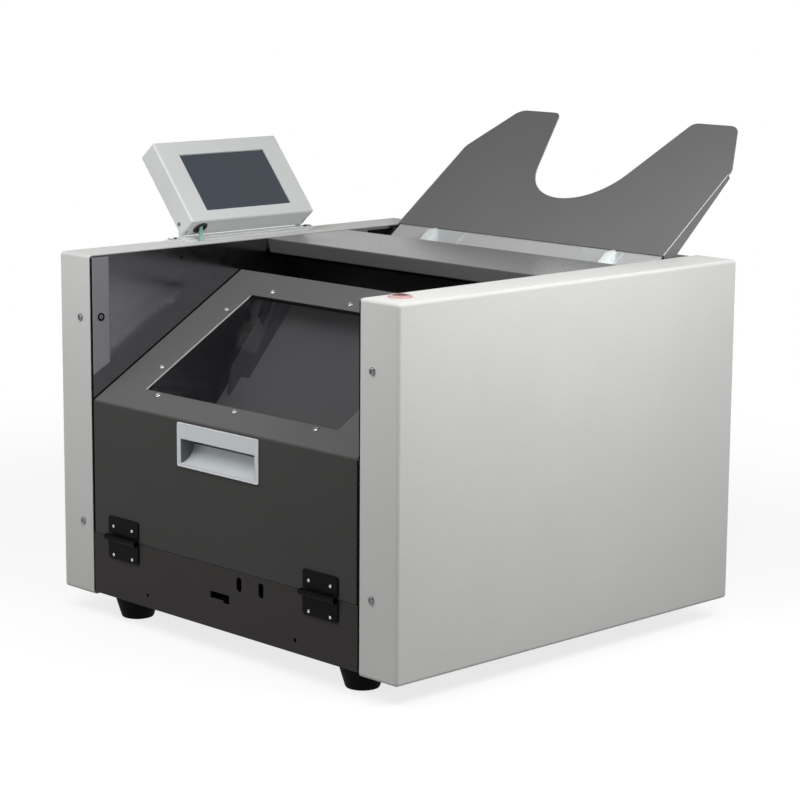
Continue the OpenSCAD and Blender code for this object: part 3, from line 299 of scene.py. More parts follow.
def addNode(tree, kind, sockets=None, **settings):
    node = tree.nodes.new("ShaderNode" + kind)
    for key, value in settings.items():
        setattr(node, key, value)
    for key, value in (sockets or {}).items():
        if isinstance(value, bpy.types.NodeSocket):
            tree.links.new(value, node.inputs[key])
        else:
            node.inputs[key].default_value = value
    return node


def newTree(name):
    material = bpy.data.materials.new(name)
    material.use_nodes = True
    material.node_tree.nodes.clear()
    return material, material.node_tree


def finish(name, tones, rough, grainMm, grainLift, blotchMm=120, stretch=(1, 1, 1), sockets=None, paintedTopLight=None):
    # two close tones mixed by slow blotches, roughness that wanders with them, and grain as a fine relief;
    # the last argument gives the tone and the share of a paler film painted on the faces that look up, a
    # painted light from above
    material, tree = newTree(name)
    spot = addNode(tree, "TexCoord").outputs["Object"]
    drawn = addNode(tree, "Mapping", {"Vector": spot, "Scale": stretch}).outputs[0]
    cloud = addNode(tree, "TexNoise", {"Vector": spot, "Scale": 1000 / blotchMm, "Detail": 4.0}).outputs[0]
    fine = addNode(tree, "TexNoise", {"Vector": drawn, "Scale": 1000 / grainMm, "Detail": 3.0}).outputs[0]
    both = addNode(tree, "Math", {0: cloud, 1: fine}, operation="ADD").outputs[0]
    share = addNode(tree, "MapRange", {"Value": both, "From Min": 0.75, "From Max": 1.25}).outputs[0]
    colour = addNode(tree, "Mix", {0: share, 6: lin(tones[0]), 7: lin(tones[1])}, data_type="RGBA").outputs[2]
    # painted light: faces that look up are mixed towards a paler tone
    if paintedTopLight:
        facing = addNode(tree, "TexCoord").outputs["Normal"]
        upward = addNode(tree, "SeparateXYZ", {"Vector": facing}).outputs["Z"]
        topLightShare = addNode(tree, "MapRange", {"Value": upward, "From Min": 0.3, "From Max": 0.9,
                                          "To Max": paintedTopLight[1]}).outputs[0]
        colour = addNode(tree, "Mix", {0: topLightShare, 6: colour, 7: lin(paintedTopLight[0])}, data_type="RGBA").outputs[2]
    gloss = addNode(tree, "MapRange", {"Value": share, "To Min": rough[0], "To Max": rough[1]}).outputs[0]
    relief = addNode(tree, "Bump", {"Height": fine, "Distance": grainLift * mm}).outputs[0]
    shader = addNode(tree, "BsdfPrincipled", {"Base Color": colour, "Roughness": gloss, "Normal": relief,
                                              **(sockets or {})})
    addNode(tree, "OutputMaterial", {"Surface": shader.outputs[0]})
    return material


metal = {"Metallic": 1.0}
dull = {"Specular IOR Level": 0.05}
# Powder paint, baked: an even pale grey with a fine orange-peel skin and a soft sheen
coverPaint = finish("powderPaintPaleGrey", ("#D3D3D1", "#D8D8D6"), (0.42, 0.5), 2.2, 0.018,
                    sockets={"Specular IOR Level": 0.12})
boxPaint = finish("powderPaintWhiteGrey", ("#D3D5D5", "#D8DADA"), (0.4, 0.48), 2.0, 0.015)
# Stoved semi-gloss paint on the door and panels: charcoal, paler where it faces up, a painted light from
# above on the slope
doorPaint = finish("stovedPaintCharcoal", ("#474645", "#4B4A49"), (0.42, 0.5), 2.0, 0.014,
                   sockets=dull, paintedTopLight=("#8A8A8A", 0.34))
# The same paint, a shade darker, on the fixed panel under the door
panelPaint = finish("stovedPaintCharcoalDeep", ("#3E3C3B", "#42403F"), (0.42, 0.5), 2.0, 0.014,
                    sockets=dull)
# The same paint polished on the flat cross cover, which mirrors the pale surround at a low angle; paler where
# it faces up, a painted light from above
crossPaint = finish("stovedPaintCharcoalGloss", ("#434242", "#474646"), (0.26, 0.34), 3.0, 0.01,
                    sockets={"Specular IOR Level": 0.35}, paintedTopLight=("#A8A8A8", 0.4))
# Black nickel on the smooth side plates: a dark mirror of the door with a slight wave
plateNickel = finish("blackNickelSteel", ("#8A8A8F", "#929297"), (0.14, 0.2), 9.0, 0.012, sockets=metal)
# Matt deep black for sheets that stand in for the shade inside the side plates
shadeBlack = finish("paintedShadeBlack", ("#0B0B0C", "#101011"), (0.8, 0.9), 1.2, 0.03, 30, sockets=dull)
# Satin paint on the front posts of the side plates: mid grey with a wide soft sheen
postPaint = finish("satinPaintGraphite", ("#7E7E82", "#858589"), (0.3, 0.4), 3.0, 0.012)
# Satin paint on the feed plate and the plate under it: mid grey, evenly dull
platePaint = finish("satinPaintGrey", ("#B2B2B2", "#B8B8B8"), (0.38, 0.46), 2.0, 0.012)
# The same paint in slate on the delivery plate
deliveryPaint = finish("satinPaintSlate", ("#A4A4A7", "#AAAAAD"), (0.42, 0.5), 2.0, 0.012)
# Slate again, darker, on the booklet guides
guidePaint = finish("satinPaintSlateDark", ("#626266", "#68686C"), (0.42, 0.5), 2.0, 0.012)
# Matt paint on the fork tray: dark grey without highlights
trayPaint = finish("mattPaintGrey", ("#6C6C6C", "#707070"), (0.5, 0.6), 1.8, 0.016)
# Zinc plate on pressed steel: bluish bright metal with faint rolling streaks
zincSteel = finish("zincPlatedSteel", ("#BFC3C8", "#D3D6DA"), (0.24, 0.36), 6.0, 0.006, 40, (1, 9, 1), metal)
# Tumbled zinc on small screws: duller, so that the driver cross reads dark and the rim glints
screwZinc = finish("tumbledZincSteel", ("#6E7174", "#888B8F"), (0.16, 0.26), 1.2, 0.01, 6, sockets=metal)
# Bright zinc on the smallest screws: a white glint beside a dark cross
glintZinc = finish("brightZincSteel", ("#C4C7CB", "#D6D9DC"), (0.1, 0.18), 1.2, 0.01, 6, sockets=metal)
# Polished stainless sheet: nearly white where it faces the softboxes
brightSteel = finish("polishedStainlessSteel", ("#DDE2E2", "#E8ECEC"), (0.1, 0.18), 8.0, 0.004, 30,
                     (9, 1, 1), metal)
# Satin nickel on the paper guides: pale metal, milky from the blasting under the plate
guideNickel = finish("satinNickelSteel", ("#D6DBDB", "#E0E4E4"), (0.3, 0.4), 3.0, 0.006, 30, (5, 1, 1),
                     {"Metallic": 0.5})
# Paint toned pale along a folded edge: a painted highlight on the bend
foldHighlightPaint = finish("paintedHighlightPale", ("#C9C9C9", "#DADADA"), (0.4, 0.5), 1.0, 0.02, 12)
# Laser-cut edge of bare sheet steel, frosted by the cut; its near-white tone also paints the bright highlight
# of the lamp as a thin line
cutSteelHighlight = finish("laserCutSteelHighlight", ("#E4E4E1", "#EFEFEC"), (0.4, 0.55), 0.8, 0.01, 12,
                  sockets={"Metallic": 0.25})
# Ground shafting: bright steel with rings from the wheel
groundSteel = finish("groundSteel", ("#A9ADB2", "#BFC3C7"), (0.18, 0.28), 1.6, 0.004, 30, (9, 1, 1), metal)
# Black oxide on hinge steel: deep black with a weak oily sheen
blackSteel = finish("blackOxideSteel", ("#060606", "#0A0A0A"), (0.4, 0.52), 1.4, 0.012, 25, sockets=dull)
# Moulded rubber: black, dull, with a fine cast skin
footRubber = finish("mouldedRubberBlack", ("#060505", "#0B0A0A"), (0.6, 0.75), 1.2, 0.03, 30,
                    sockets={"Specular IOR Level": 0.06})
# Ground rubber on the fold rollers: dusty black with turning marks
rollerRubber = finish("groundRubberBlack", ("#1C1C1C", "#262626"), (0.62, 0.75), 1.0, 0.03, 40, (6, 1, 1))
# Moulded ABS: light grey with a slightly pearly tool finish
handleAbs = finish("mouldedAbsSilverGrey", ("#D2D7DA", "#D8DDE0"), (0.34, 0.42), 1.4, 0.01, 50)
# The moulding's end walls toned dark: painted shade inside the scoop
cheekShadeAbs = finish("paintedShadeAbsGrey", ("#6C6D6F", "#747577"), (0.5, 0.6), 1.0, 0.02, 30)
# The same moulding toned paler along its rim: a painted highlight line
rimHighlightAbs = finish("paintedHighlightAbsSilverGrey", ("#E2E4E6", "#E8EAEC"), (0.22, 0.3), 1.4, 0.006, 30)
# The same plastic in black on small mouldings: a dull tool finish
blackAbs = finish("mouldedAbsBlack", ("#131313", "#1A1A1A"), (0.4, 0.52), 1.2, 0.014, 40)
# Enamelled motor cases: black with a smooth skin
motorEnamel = finish("enamelMotorBlack", ("#18181A", "#1F1F22"), (0.3, 0.4), 3.0, 0.01)
# Natural acetal gears: creamy, slightly waxy
gearAcetal = finish("machinedAcetalNatural", ("#D5CFBD", "#DDD8C8"), (0.35, 0.45), 1.5, 0.008, 30)
# Sintered bronze bushes: brown gold with open pores
bushBronze = finish("sinteredBronze", ("#A07C45", "#B08B52"), (0.35, 0.5), 0.8, 0.02, 15, sockets=metal)
# Moulded polycarbonate of the start button: a rose ring, a deeper red-brown cap, both shiny
bezelPlastic = finish("mouldedPolycarbonateRose", ("#B98F8B", "#C8A29E"), (0.22, 0.3), 2.0, 0.006, 20)
capPlastic = finish("mouldedPolycarbonateRed", ("#57302B", "#653A33"), (0.2, 0.28), 2.0, 0.006, 12)
# Moulded ABS of the power rocker: deep red, half shiny
rockerPlastic = finish("mouldedAbsRed", ("#5E1512", "#6B1A16"), (0.25, 0.34), 1.5, 0.008, 15)
# Galvanised supply case: spangled grey zinc
supplyZinc = finish("galvanisedSheet", ("#8E9296", "#B4B8BB"), (0.3, 0.5), 5.0, 0.006, 14, sockets=metal)
# Solder mask over glass fibre board: deep green, glossy
boardMask = finish("solderMaskGreen", ("#1F4A33", "#2A5A40"), (0.25, 0.35), 1.0, 0.02, 10)
# Extruded PVC sheath: pale teal, waxy
cablePvc = finish("extrudedPvcTeal", ("#83B0A3", "#8FBBAE"), (0.38, 0.46), 1.0, 0.01, 8)


def acrylic():
    # Smoke-tinted cast acrylic: glassy, dark, half clear; faint rub marks break its gloss
    material, tree = newTree("castAcrylicSmoke")
    spot = addNode(tree, "TexCoord").outputs["Object"]
    rubs = addNode(tree, "TexNoise", {"Vector": spot, "Scale": 1000 / 45, "Detail": 5.0}).outputs[0]
    gloss = addNode(tree, "MapRange", {"Value": rubs, "From Min": 0.4, "From Max": 0.75,
                                       "To Min": 0.03, "To Max": 0.1}).outputs[0]
    tint = addNode(tree, "Mix", {0: rubs, 6: lin("#121216"), 7: lin("#17171C")}, data_type="RGBA").outputs[2]
    shader = addNode(tree, "BsdfPrincipled", {"Base Color": tint, "Roughness": gloss, "IOR": 1.49,
                                              "Specular IOR Level": 0.48, "Alpha": 0.35})
    addNode(tree, "OutputMaterial", {"Surface": shader.outputs[0]})
    return material


def screenGlass():
    # Hardened glass over a sleeping display: slate blue, a little lighter towards one end, a painted
    # reflection
    material, tree = newTree("touchGlassSlate")
    spot = addNode(tree, "TexCoord").outputs["Object"]
    across = addNode(tree, "SeparateXYZ", {"Vector": spot}).outputs["Y"]
    smear = addNode(tree, "TexNoise", {"Vector": spot, "Scale": 1000 / 35, "Detail": 4.0}).outputs[0]
    share = addNode(tree, "MapRange", {"Value": across, "From Min": -0.08, "From Max": 0.06}).outputs[0]
    glassTones = {0: share, 6: lin("#474E55"), 7: lin("#4C5159")}
    colour = addNode(tree, "Mix", glassTones, data_type="RGBA").outputs[2]
    gloss = addNode(tree, "MapRange", {"Value": smear, "From Min": 0.35, "From Max": 0.7,
                                       "To Min": 0.12, "To Max": 0.24}).outputs[0]
    shader = addNode(tree, "BsdfPrincipled", {"Base Color": colour, "Roughness": gloss, "IOR": 1.5,
                                              "Specular IOR Level": 0.25})
    addNode(tree, "OutputMaterial", {"Surface": shader.outputs[0]})
    return material


windowAcrylic = acrylic()
touchGlass = screenGlass()
slotFinish = {
    "cover_paint": coverPaint, "door_paint": doorPaint, "inner_paint": plateNickel,
    "delivery_paint": deliveryPaint, "plate_paint": platePaint, "tray_paint": trayPaint,
    "zinc_steel": zincSteel, "black_steel": blackSteel, "foot_rubber": footRubber,
    "roller_rubber": rollerRubber, "handle_plastic": handleAbs, "box_plastic": boxPaint,
    "screen_glass": touchGlass, "window_acrylic": windowAcrylic, "black_plastic": blackAbs,
    "motor_black": motorEnamel, "gear_plastic": gearAcetal, "bush_brass": bushBronze,
    "cable_teal": cablePvc, "bezel_red": bezelPlastic, "cap_red": capPlastic,
    "rocker_red": rockerPlastic, "supply_case": supplyZinc, "board": boardMask,
}
nodeFinish = {
    "cross_cover": crossPaint, "left_paper_guide": guideNickel, "right_paper_guide": guideNickel,
    "knife_guides": groundSteel, "knife_shaft": groundSteel, "stop_rails": groundSteel,
    "stop_screw": groundSteel, "fold_knife": brightSteel, "panel_bracket": boxPaint,
    # tie bars in black: painted shade where they show in the gap under the cross cover
    "tie_bars": blackAbs, "booklet_guides": guidePaint, "lower_front_panel": panelPaint,
}
for nodeName, solid in nodes.items():
    solid.data.materials.clear()
    solid.data.materials.append(nodeFinish.get(nodeName, slotFinish[slotOf[nodeName]]))
print("finishes set on", len(nodes), "solids")

# Side covers: a rounded rectangle drawn outwards to a flat face, the open side against the inner plate
cover = {"inner": 230.0, "outer": 287.0, "depth": 544.0, "low": -4.0, "high": 400.0, "edge": 4.0,
         "sheet": 1.5}
coverEnds = [(cover["inner"], 0.0)] + endRound(cover["outer"], cover["edge"], 1, 7)
coverPan = slab((0, 0, cover["low"]), (0, cover["depth"], cover["high"]), coverEnds, cover["edge"], 0,
                first=False, steps=7)
addPiece("rightCover", [coverPan], "frame", coverPaint, ["right_side_cover"], cover["sheet"])
addPiece("leftCover", [mirrored(coverPan)], "frame", coverPaint, ["left_side_cover"],
         cover["sheet"])

# Cover screws: pan heads on thin washers, front and back
coverScrew = {"x": 248.0, "z": (83.0, 326.0), "head": 8.0, "rise": 1.8, "washer": 8.8, "seat": 0.5,
              "overlap": 0.1, "spinUp": 37, "spinAcross": 20}
coverHead = screwHead(coverScrew["head"], coverScrew["rise"])
coverWasher = washer(coverScrew["washer"], coverScrew["seat"] + coverScrew["overlap"])
screwShapes = []
for sideX in (-1, 1):
    for k, z in enumerate(coverScrew["z"]):
        for y, facing in ((0.0, -1), (cover["depth"], 1)):
            spin = coverScrew["spinUp"] * k + coverScrew["spinAcross"] * sideX
            for shape, lift in ((coverWasher, 0.0), (coverHead, coverScrew["seat"])):
                at = (sideX * coverScrew["x"], y + lift * facing, z)
                screwShapes.append(placed(shape, turnedTo(at, (0, facing, 0), spin)))
addPiece("coverScrewHeads", screwShapes, "frame", screwZinc, ["cover_screws"])

# Front posts of the side plates: a thin satin strip with a slanted foot just behind the covers
post = {"x": 227.0, "thick": 0.8, "sink": 0.1, "bevel": 0.5,
        "line": [(1.6, 397.0), (25.5, 397.0), (25.5, 273.0), (1.6, 260.0)]}
postStrip = prism(post["line"], post["x"] - post["thick"], post["x"] + post["sink"])
addPiece("platePosts", [postStrip, mirrored(postStrip)], "frame", postPaint,
         bevel=post["bevel"])

# Screws of the posts: a grey socket head in a black ring with a black disc in its socket, painted shade of
# the counterbore and the socket, and a small black head further back
postScrew = {"at": (13.4, 327.2), "shadeRing": 9.6, "bore": 5.6, "rise": 0.9, "head": 5.2, "headRise": 0.8,
             "recess": 0.9, "spin": 15, "plug": (2.2, 0.6, 6), "small": (135.0, 387.0), "smallHead": 3.6,
             "smallRise": 1.2, "smallSpin": 20}
wide, bore, rise = postScrew["shadeRing"] / 2, postScrew["bore"] / 2, postScrew["rise"]
shadeRingLine = [(bore, 0), (wide, 0), (wide, rise - 0.3), (wide - 0.3, rise), (bore + 0.2, rise),
              (bore, rise - 0.2), (bore, 0)]
shadeRingShapes, headShapes, smallShapes = [], [], []
for sideX in (-1, 1):
    face = sideX * (post["x"] - post["thick"])
    at = turnedTo((face, *postScrew["at"]), (-sideX, 0, 0), postScrew["spin"])
    # painted shade: the black ring round the head and the black disc in its socket
    shadeRingShapes.append(placed(lathe(shadeRingLine, 40), at))
    socketHead = screwHead(postScrew["head"], postScrew["headRise"], postScrew["recess"], "hex")
    headShapes.append(placed(socketHead, at))
    shadeRingShapes.append(placed(washer(*postScrew["plug"]), at))
    behind = turnedTo((sideX * post["x"], *postScrew["small"]), (-sideX, 0, 0), postScrew["smallSpin"])
    smallShapes.append(placed(screwHead(postScrew["smallHead"], postScrew["smallRise"]), behind))
addPiece("postShadeRingsAndScrews", shadeRingShapes + smallShapes, "frame", blackSteel)
addPiece("postSocketScrews", headShapes, "frame", postPaint)

# Painted shade on the side plates: thin black sheets behind the door and behind the feed plate, where the
# inside lies in shade
shadeSheet = {"x": (226.6, 226.95), "front": [(20, 100), (228, 100), (228, 345), (20, 222)],
          "back": [(440, 290), (540, 290), (540, 396), (440, 396)]}
shadeSheets = [prism(shadeSheet[part], *shadeSheet["x"]) for part in ("front", "back")]
addPiece("plateShadeSheets", shadeSheets + [mirrored(sheet) for sheet in shadeSheets], "frame", shadeBlack)

# Painted shade in the slits beside the door: black strips on the front edges of the side plates
gapShade = {"x": (226.9, 229.95), "y": (1.0, 1.6), "z": (3.0, 397.0), "r": 0.2}
gapShadeStrip = bar((gapShade["x"], gapShade["y"], gapShade["z"]), gapShade["r"], 2)
addPiece("plateEdgeShade", [gapShadeStrip, mirrored(gapShadeStrip)], "frame", shadeBlack)
print("covers made")

# Door: a C section carried along the bent door line, with the window and the pull cut out
door = {"half": 225.0, "bend": 230.5, "angle": 30.6, "slope": 264.0, "foot": 73.0, "bendR": 4.5, "lipR": 0.7,
        "lip": 12.0, "footLip": 15.0, "flange": 12.0, "sheet": 1.5, "bevel": 0.3, "lipSteps": 5,
        "bendSteps": 9, "window": (165.0, 34.5, 221.5), "pull": (66.2, 180.5, 224.3)}


def arcAt(corner, before, after, r, steps):
    # points of the arc that rounds a corner between two directions
    a, b = np.array(before, float), np.array(after, float)
    cut = r * math.tan(math.acos(np.clip(a @ b, -1, 1)) / 2)
    start, end = np.array(corner) - a * cut, np.array(corner) + b * cut
    centre = np.array(corner) + (b - a) / np.linalg.norm(b - a) * math.hypot(r, cut)
    t = np.linspace(0, 1, steps)[:, None]
    chord = start + (end - start) * t - centre
    return centre + chord / np.linalg.norm(chord, axis=1)[:, None] * r


upSlope = np.array([math.cos(math.radians(door["angle"])), math.sin(math.radians(door["angle"]))])
bendAt = np.array([0.0, door["bend"]])
slopeTop = bendAt + door["slope"] * upSlope
lipDown = np.array([upSlope[1], -upSlope[0]])
footAt = np.array([0.0, door["foot"]])
windowX, windowLow, windowHigh = door["window"]
pullX, pullLow, pullHigh = door["pull"]
doorLine = np.concatenate([
    [slopeTop + lipDown * door["lip"]],
    arcAt(slopeTop, -lipDown, -upSlope, door["lipR"], door["lipSteps"]),
    [bendAt + upSlope * windowHigh, bendAt + upSlope * windowLow],
    arcAt(bendAt, -upSlope, (0, -1), door["bendR"], door["bendSteps"]),
    [(0, pullHigh), (0, pullLow)], arcAt(footAt, (0, -1), (1, 0), door["lipR"], door["lipSteps"]),
    [footAt + (door["footLip"], 0)]])
lineStep = np.gradient(doorLine, axis=0)
inward = np.stack([-lineStep[:, 1], lineStep[:, 0]], 1) / np.linalg.norm(lineStep, axis=1)[:, None]
across = np.array([-door["half"], -door["half"], -windowX, -pullX,
                   pullX, windowX, door["half"], door["half"]])
deep = np.array([door["flange"], 0, 0, 0, 0, 0, 0, door["flange"]])
sheetAt = doorLine[:, None, :] + inward[:, None, :] * deep[None, :, None]
acrossAt = np.broadcast_to(across[None, :, None], sheetAt.shape[:2] + (1,))
keep = np.ones((len(doorLine) - 1, len(across) - 1), bool)
windowRow = door["lipSteps"] + 1
pullRow = windowRow + door["bendSteps"] + 2
keep[windowRow, 2:5] = False
keep[pullRow, 3] = False
straightRows = [row + k for row in (windowRow, pullRow) for k in (-1, 0, 1)]
straight = np.isin(np.arange(len(doorLine) - 1), straightRows)
keep[~straight, 0] = False  # flanges stop at the bends
keep[~straight, -1] = False
doorShape = grid(np.concatenate([acrossAt, sheetAt], -1), keep=keep)
addPiece("doorSheet", [doorShape], "door", doorPaint, ["front_door"], door["sheet"],
         door["bevel"])

# Bare cut edges of the window: a thin strip on the wall of each side of the cut, bare steel toned near white
# as a painted highlight
cutEdge = {"x": (-windowX, -windowX + 0.3), "u": (windowLow, windowHigh), "lift": (-1.4, -0.15), "r": 0.08}
cutStrip = placed(bar((cutEdge["x"], cutEdge["u"], cutEdge["lift"]), cutEdge["r"], 1), onSlope)
addPiece("windowCutEdgeHighlight", [cutStrip, mirrored(cutStrip)], "door", cutSteelHighlight)

# Painted shadow under the upper edge of the window cut: a black strip along it
topShadow = {"x": (-164.4, 164.4), "u": (217.6, 221.0), "lift": (-1.7, -0.5), "r": 0.3}
topShadowStrip = placed(bar((topShadow["x"], topShadow["u"], topShadow["lift"]), topShadow["r"]), onSlope)
addPiece("windowTopShadow", [topShadowStrip], "door", footRubber)

# Window screws: small pan heads round the window
windowScrew = {"head": 6.4, "rise": 1.9, "recess": 0.75, "rows": (28.7, 231.5), "rowX": (-135, 0, 135),
               "columns": (74.08, 188.74), "columnX": 176, "spin": 31}
spots = [(x, u) for u in windowScrew["rows"] for x in windowScrew["rowX"]]
spots += [(s * windowScrew["columnX"], u) for s in (-1, 1) for u in windowScrew["columns"]]
slopeNormal = (0, -upSlope[1], upSlope[0])
windowHead = screwHead(windowScrew["head"], windowScrew["rise"], windowScrew["recess"])
windowHeads = [placed(windowHead, turnedTo(onSlope((x, u, 0)), slopeNormal, windowScrew["spin"] * k))
               for k, (x, u) in enumerate(spots)]
addPiece("windowScrewHeads", windowHeads, "door", glintZinc, ["window_screws"])
addCopy("door_handle", mouldBevel)

# Handle details: a pale bead along its rim, a painted highlight; dark cheeks in the scoop, painted shade; and
# a black strip under the band, a painted shadow
pull = {"half": 69.5, "z": (177.2, 227.6), "face": -1.6, "proud": 0.35, "cornerR": 2.0,
        "curve": (23.1, 181.3, 33.8), "cheekTurn": (6, 79.8), "cheek": (63.1, 63.35), "cheekFront": -1.4,
        "shadowTurn": (64.8, 74.4), "shadowLift": (-0.2, 0.35), "shadowHalf": 63.2}
beadLine = [(0.0, 0.3), (0.0, -0.6), (0.35, -1.0), (1.35, -1.0), (1.7, -0.6), (1.7, 0.3)]  # inset, lift
beadLoops = []
for inset, lift in beadLine:
    loop = roundRect(inset - pull["half"], pull["half"] - inset, pull["z"][0] + inset, pull["z"][1] - inset,
                     pull["cornerR"] - inset, 5)
    beadLoops.append(np.insert(loop, 1, pull["face"] + pull["proud"] * lift, axis=1))
bead = grid(np.array(beadLoops), wrapU=True, wrapV=True)
addPiece("handleRimBead", [bead], "door", rimHighlightAbs)


def scoopAt(degrees, lift=0.0):
    # quarter ellipse of the scoop, lifted square off it
    deep, low, high = pull["curve"]
    a = np.radians(degrees)
    square = np.stack([-high * np.sin(a), deep * np.cos(a)], 1)
    line = np.stack([pull["face"] + deep * np.sin(a), low + high * (1 - np.cos(a))], 1)
    return line + lift * square / np.linalg.norm(square, axis=1)[:, None]


cheekCurve = scoopAt(np.linspace(*pull["cheekTurn"], 24))
cheekFront = [(pull["cheekFront"], cheekCurve[k, 1]) for k in (-1, 0)]
cheekLine = np.concatenate([cheekCurve, cheekFront])
cheek = prism(cheekLine, *pull["cheek"])
# painted shade: dark plates on the end walls of the scoop
addPiece("handleCheekShade", [cheek, mirrored(cheek)], "door", cheekShadeAbs)
# painted shadow: a black strip on the scoop just under the band
shadowUnder, shadowOver = (scoopAt(np.linspace(*pull["shadowTurn"], 5), lift) for lift in pull["shadowLift"])
shadowLine = np.concatenate([shadowUnder, shadowOver[::-1]])
addPiece("handleBandShadow", [prism(shadowLine, -pull["shadowHalf"], pull["shadowHalf"])], "door", blackAbs)
print("door made")

# Hinge screws: small bright heads on the black leaves
hingeScrew = {"x": (-170.0, 170.0), "off": 17.174, "z": {"Frame": 52.5, "Door": 86.5}, "face": -2.0,
              "head": 3.8, "rise": 1.3, "recess": 0.75, "spin": 25}
hingeHead = screwHead(hingeScrew["head"], hingeScrew["rise"], hingeScrew["recess"])
for side, z in hingeScrew["z"].items():
    heads = []
    for x in hingeScrew["x"]:
        for s in (-1, 1):
            at = (x + s * hingeScrew["off"], hingeScrew["face"], z)
            heads.append(placed(hingeHead, turnedTo(at, (0, -1, 0), hingeScrew["spin"] * s + x)))
    body = side.lower()
    addPiece("hingeScrews" + side, heads, body, glintZinc, ["hinge_" + body + "_screws"])
for node in ("hinge_frame_leaves", "hinge_door_leaves", "hinge_pins"):
    addCopy(node)

# Feet: turned rubber bumpers, straight to a rounded sole with a moulded hollow
foot = {"x": 195.0, "y": (38.0, 506.0), "top": 27.6, "sole": 19.2, "high": 30.0, "hollow": 7.4}
soleR, topR, hollowR = foot["sole"], foot["top"], foot["hollow"]
footLine = [(0, 4), (hollowR - 0.6, 4), (hollowR, 3.4), (hollowR, 0.8), (hollowR + 0.8, 0.0),
            (soleR - 2.4, 0.0), (soleR - 0.9, 0.5), (soleR, 1.8), (topR - 0.3, 28.4),
            (topR - 0.5, 29.4), (topR - 1.2, 30.0), (0, 30.0)]
addPiece("footBumpers", [placed(lathe(footLine, 56), axesAt((s * foot["x"], y, -foot["high"])))
                         for s in (-1, 1) for y in foot["y"]],
         "frame", footRubber, ["rubber_feet"], sharp=50)

# Control box: softened housing, glass in its sunk opening, pivot screws and bracket
panel = {"long": 197.0, "glassX": (26.0, 30.0), "glassY": (31.1, 165.9), "glassZ": (15.6, 97.4), "r": 0.4,
         "cornerR": 0.8}
addCopy("control_box", mouldBevel, "panelHousing", flatten=False)
glass = bar((panel["glassX"], panel["glassY"], panel["glassZ"]), panel["r"], 0, panel["cornerR"])
addPiece("panelGlass", [placed(glass, onBox)], "panel", touchGlass, ["touch_screen"])
pivot = {"x": 8.0, "z": 13.4, "head": 4.6, "rise": 1.6, "recess": 0.8}
pivotHead = screwHead(pivot["head"], pivot["rise"], pivot["recess"], "hex")
pivotHeads = [placed(pivotHead, turnedTo(onBox((pivot["x"], y, pivot["z"])), (0, facing, 0)))
              for y, facing in ((0.0, -1), (panel["long"], 1))]
addPiece("pivotScrewHeads", pivotHeads, bodyOf["panel_pivot_screws"], screwZinc,
         ["panel_pivot_screws"])
addCopy("panel_bracket")

# Riser on the strip: a low bar that closes the slit under the box
riser = {"x": (-276.0, -262.0), "y": (167.5, 363.5), "z": (401.5, 404.2), "r": 0.5}
addPiece("panelRiser", [bar((riser["x"], riser["y"], riser["z"]), riser["r"], 1)], "frame", boxPaint)

# Clips at the strip's ends: a painted plate with a turned-up end and a small black screw
clip = {"x": -270.5, "half": 6.4, "start": 0.8, "long": 13.0, "top": 402.0, "sheet": 1.0, "turnUp": 2.2,
        "turn": 80, "bevel": 0.25, "screw": 5.0, "rise": 1.6, "screwAt": 6.5, "spin": 20}
t = np.radians(np.linspace(0, clip["turn"], 6))
far = clip["long"] - clip["turnUp"] + clip["turnUp"] * np.sin(t)
rise = clip["turnUp"] * (1 - np.cos(t))
run = np.concatenate([[[clip["start"], 0.0]], np.column_stack([far, rise])])
clipHead = screwHead(clip["screw"], clip["rise"])
clipShapes, clipHeads = [], []
for endY, facing in ((167.0, -1), (364.0, 1)):
    strip = np.empty((len(run), 2, 3))
    strip[:, :, 0] = np.array([-1, 1]) * clip["half"] + clip["x"]
    strip[:, :, 1] = endY + facing * run[:, :1]
    strip[:, :, 2] = clip["top"] + run[:, 1:]
    raised = strip + (0, 0, clip["sheet"])
    clipShapes.append(loft(np.concatenate([strip, raised[:, ::-1]], 1)))
    middle = (clip["x"], endY + facing * clip["screwAt"], clip["top"] + clip["sheet"])
    clipHeads.append(placed(clipHead, turnedTo(middle, (0, 0, 1), clip["spin"])))
addPiece("stripClips", clipShapes, "frame", boxPaint, bevel=clip["bevel"])
addPiece("clipScrewHeads", clipHeads, "frame", blackSteel)

# Lead of the control box: a round sheath along a slack upright line
lead = {"foot": (-252.94, 187.0), "low": 388.0, "high": 418.0, "r": 2.5, "bow": 1.2, "bend": (401.0, 416.0)}
t = np.linspace(0, 1, 25)
leadLine = np.stack([lead["foot"][0] + lead["bow"] * np.sin(2 * np.pi * t), lead["foot"][1] + 0 * t,
                     lead["low"] + (lead["high"] - lead["low"]) * t], 1)
leadPiece = addPiece("panelLead", [tube(leadLine, lead["r"])], None, cablePvc, ["panel_cable"])
leadPiece.modifiers.clear()
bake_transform(leadPiece)

# Grommet of the lead: a turned ring with a lip under the box
grommetAt = (17.05, 20, 0)
grommetLine = [(6.2, -1.5), (6.2, 1.0), (6.6, 1.5), (8.6, 1.5), (9.4, 1.0), (9.6, 0.0), (7.7, 0.0),
               (7.7, -1.5), (6.2, -1.5)]
underBox = axesAt(onBox(grommetAt), boxOut, (0, -1, 0), -np.array(boxUp))
addPiece("leadGrommet", [placed(lathe(grommetLine, 40), underBox)], "panel", blackAbs)
print("control box made")

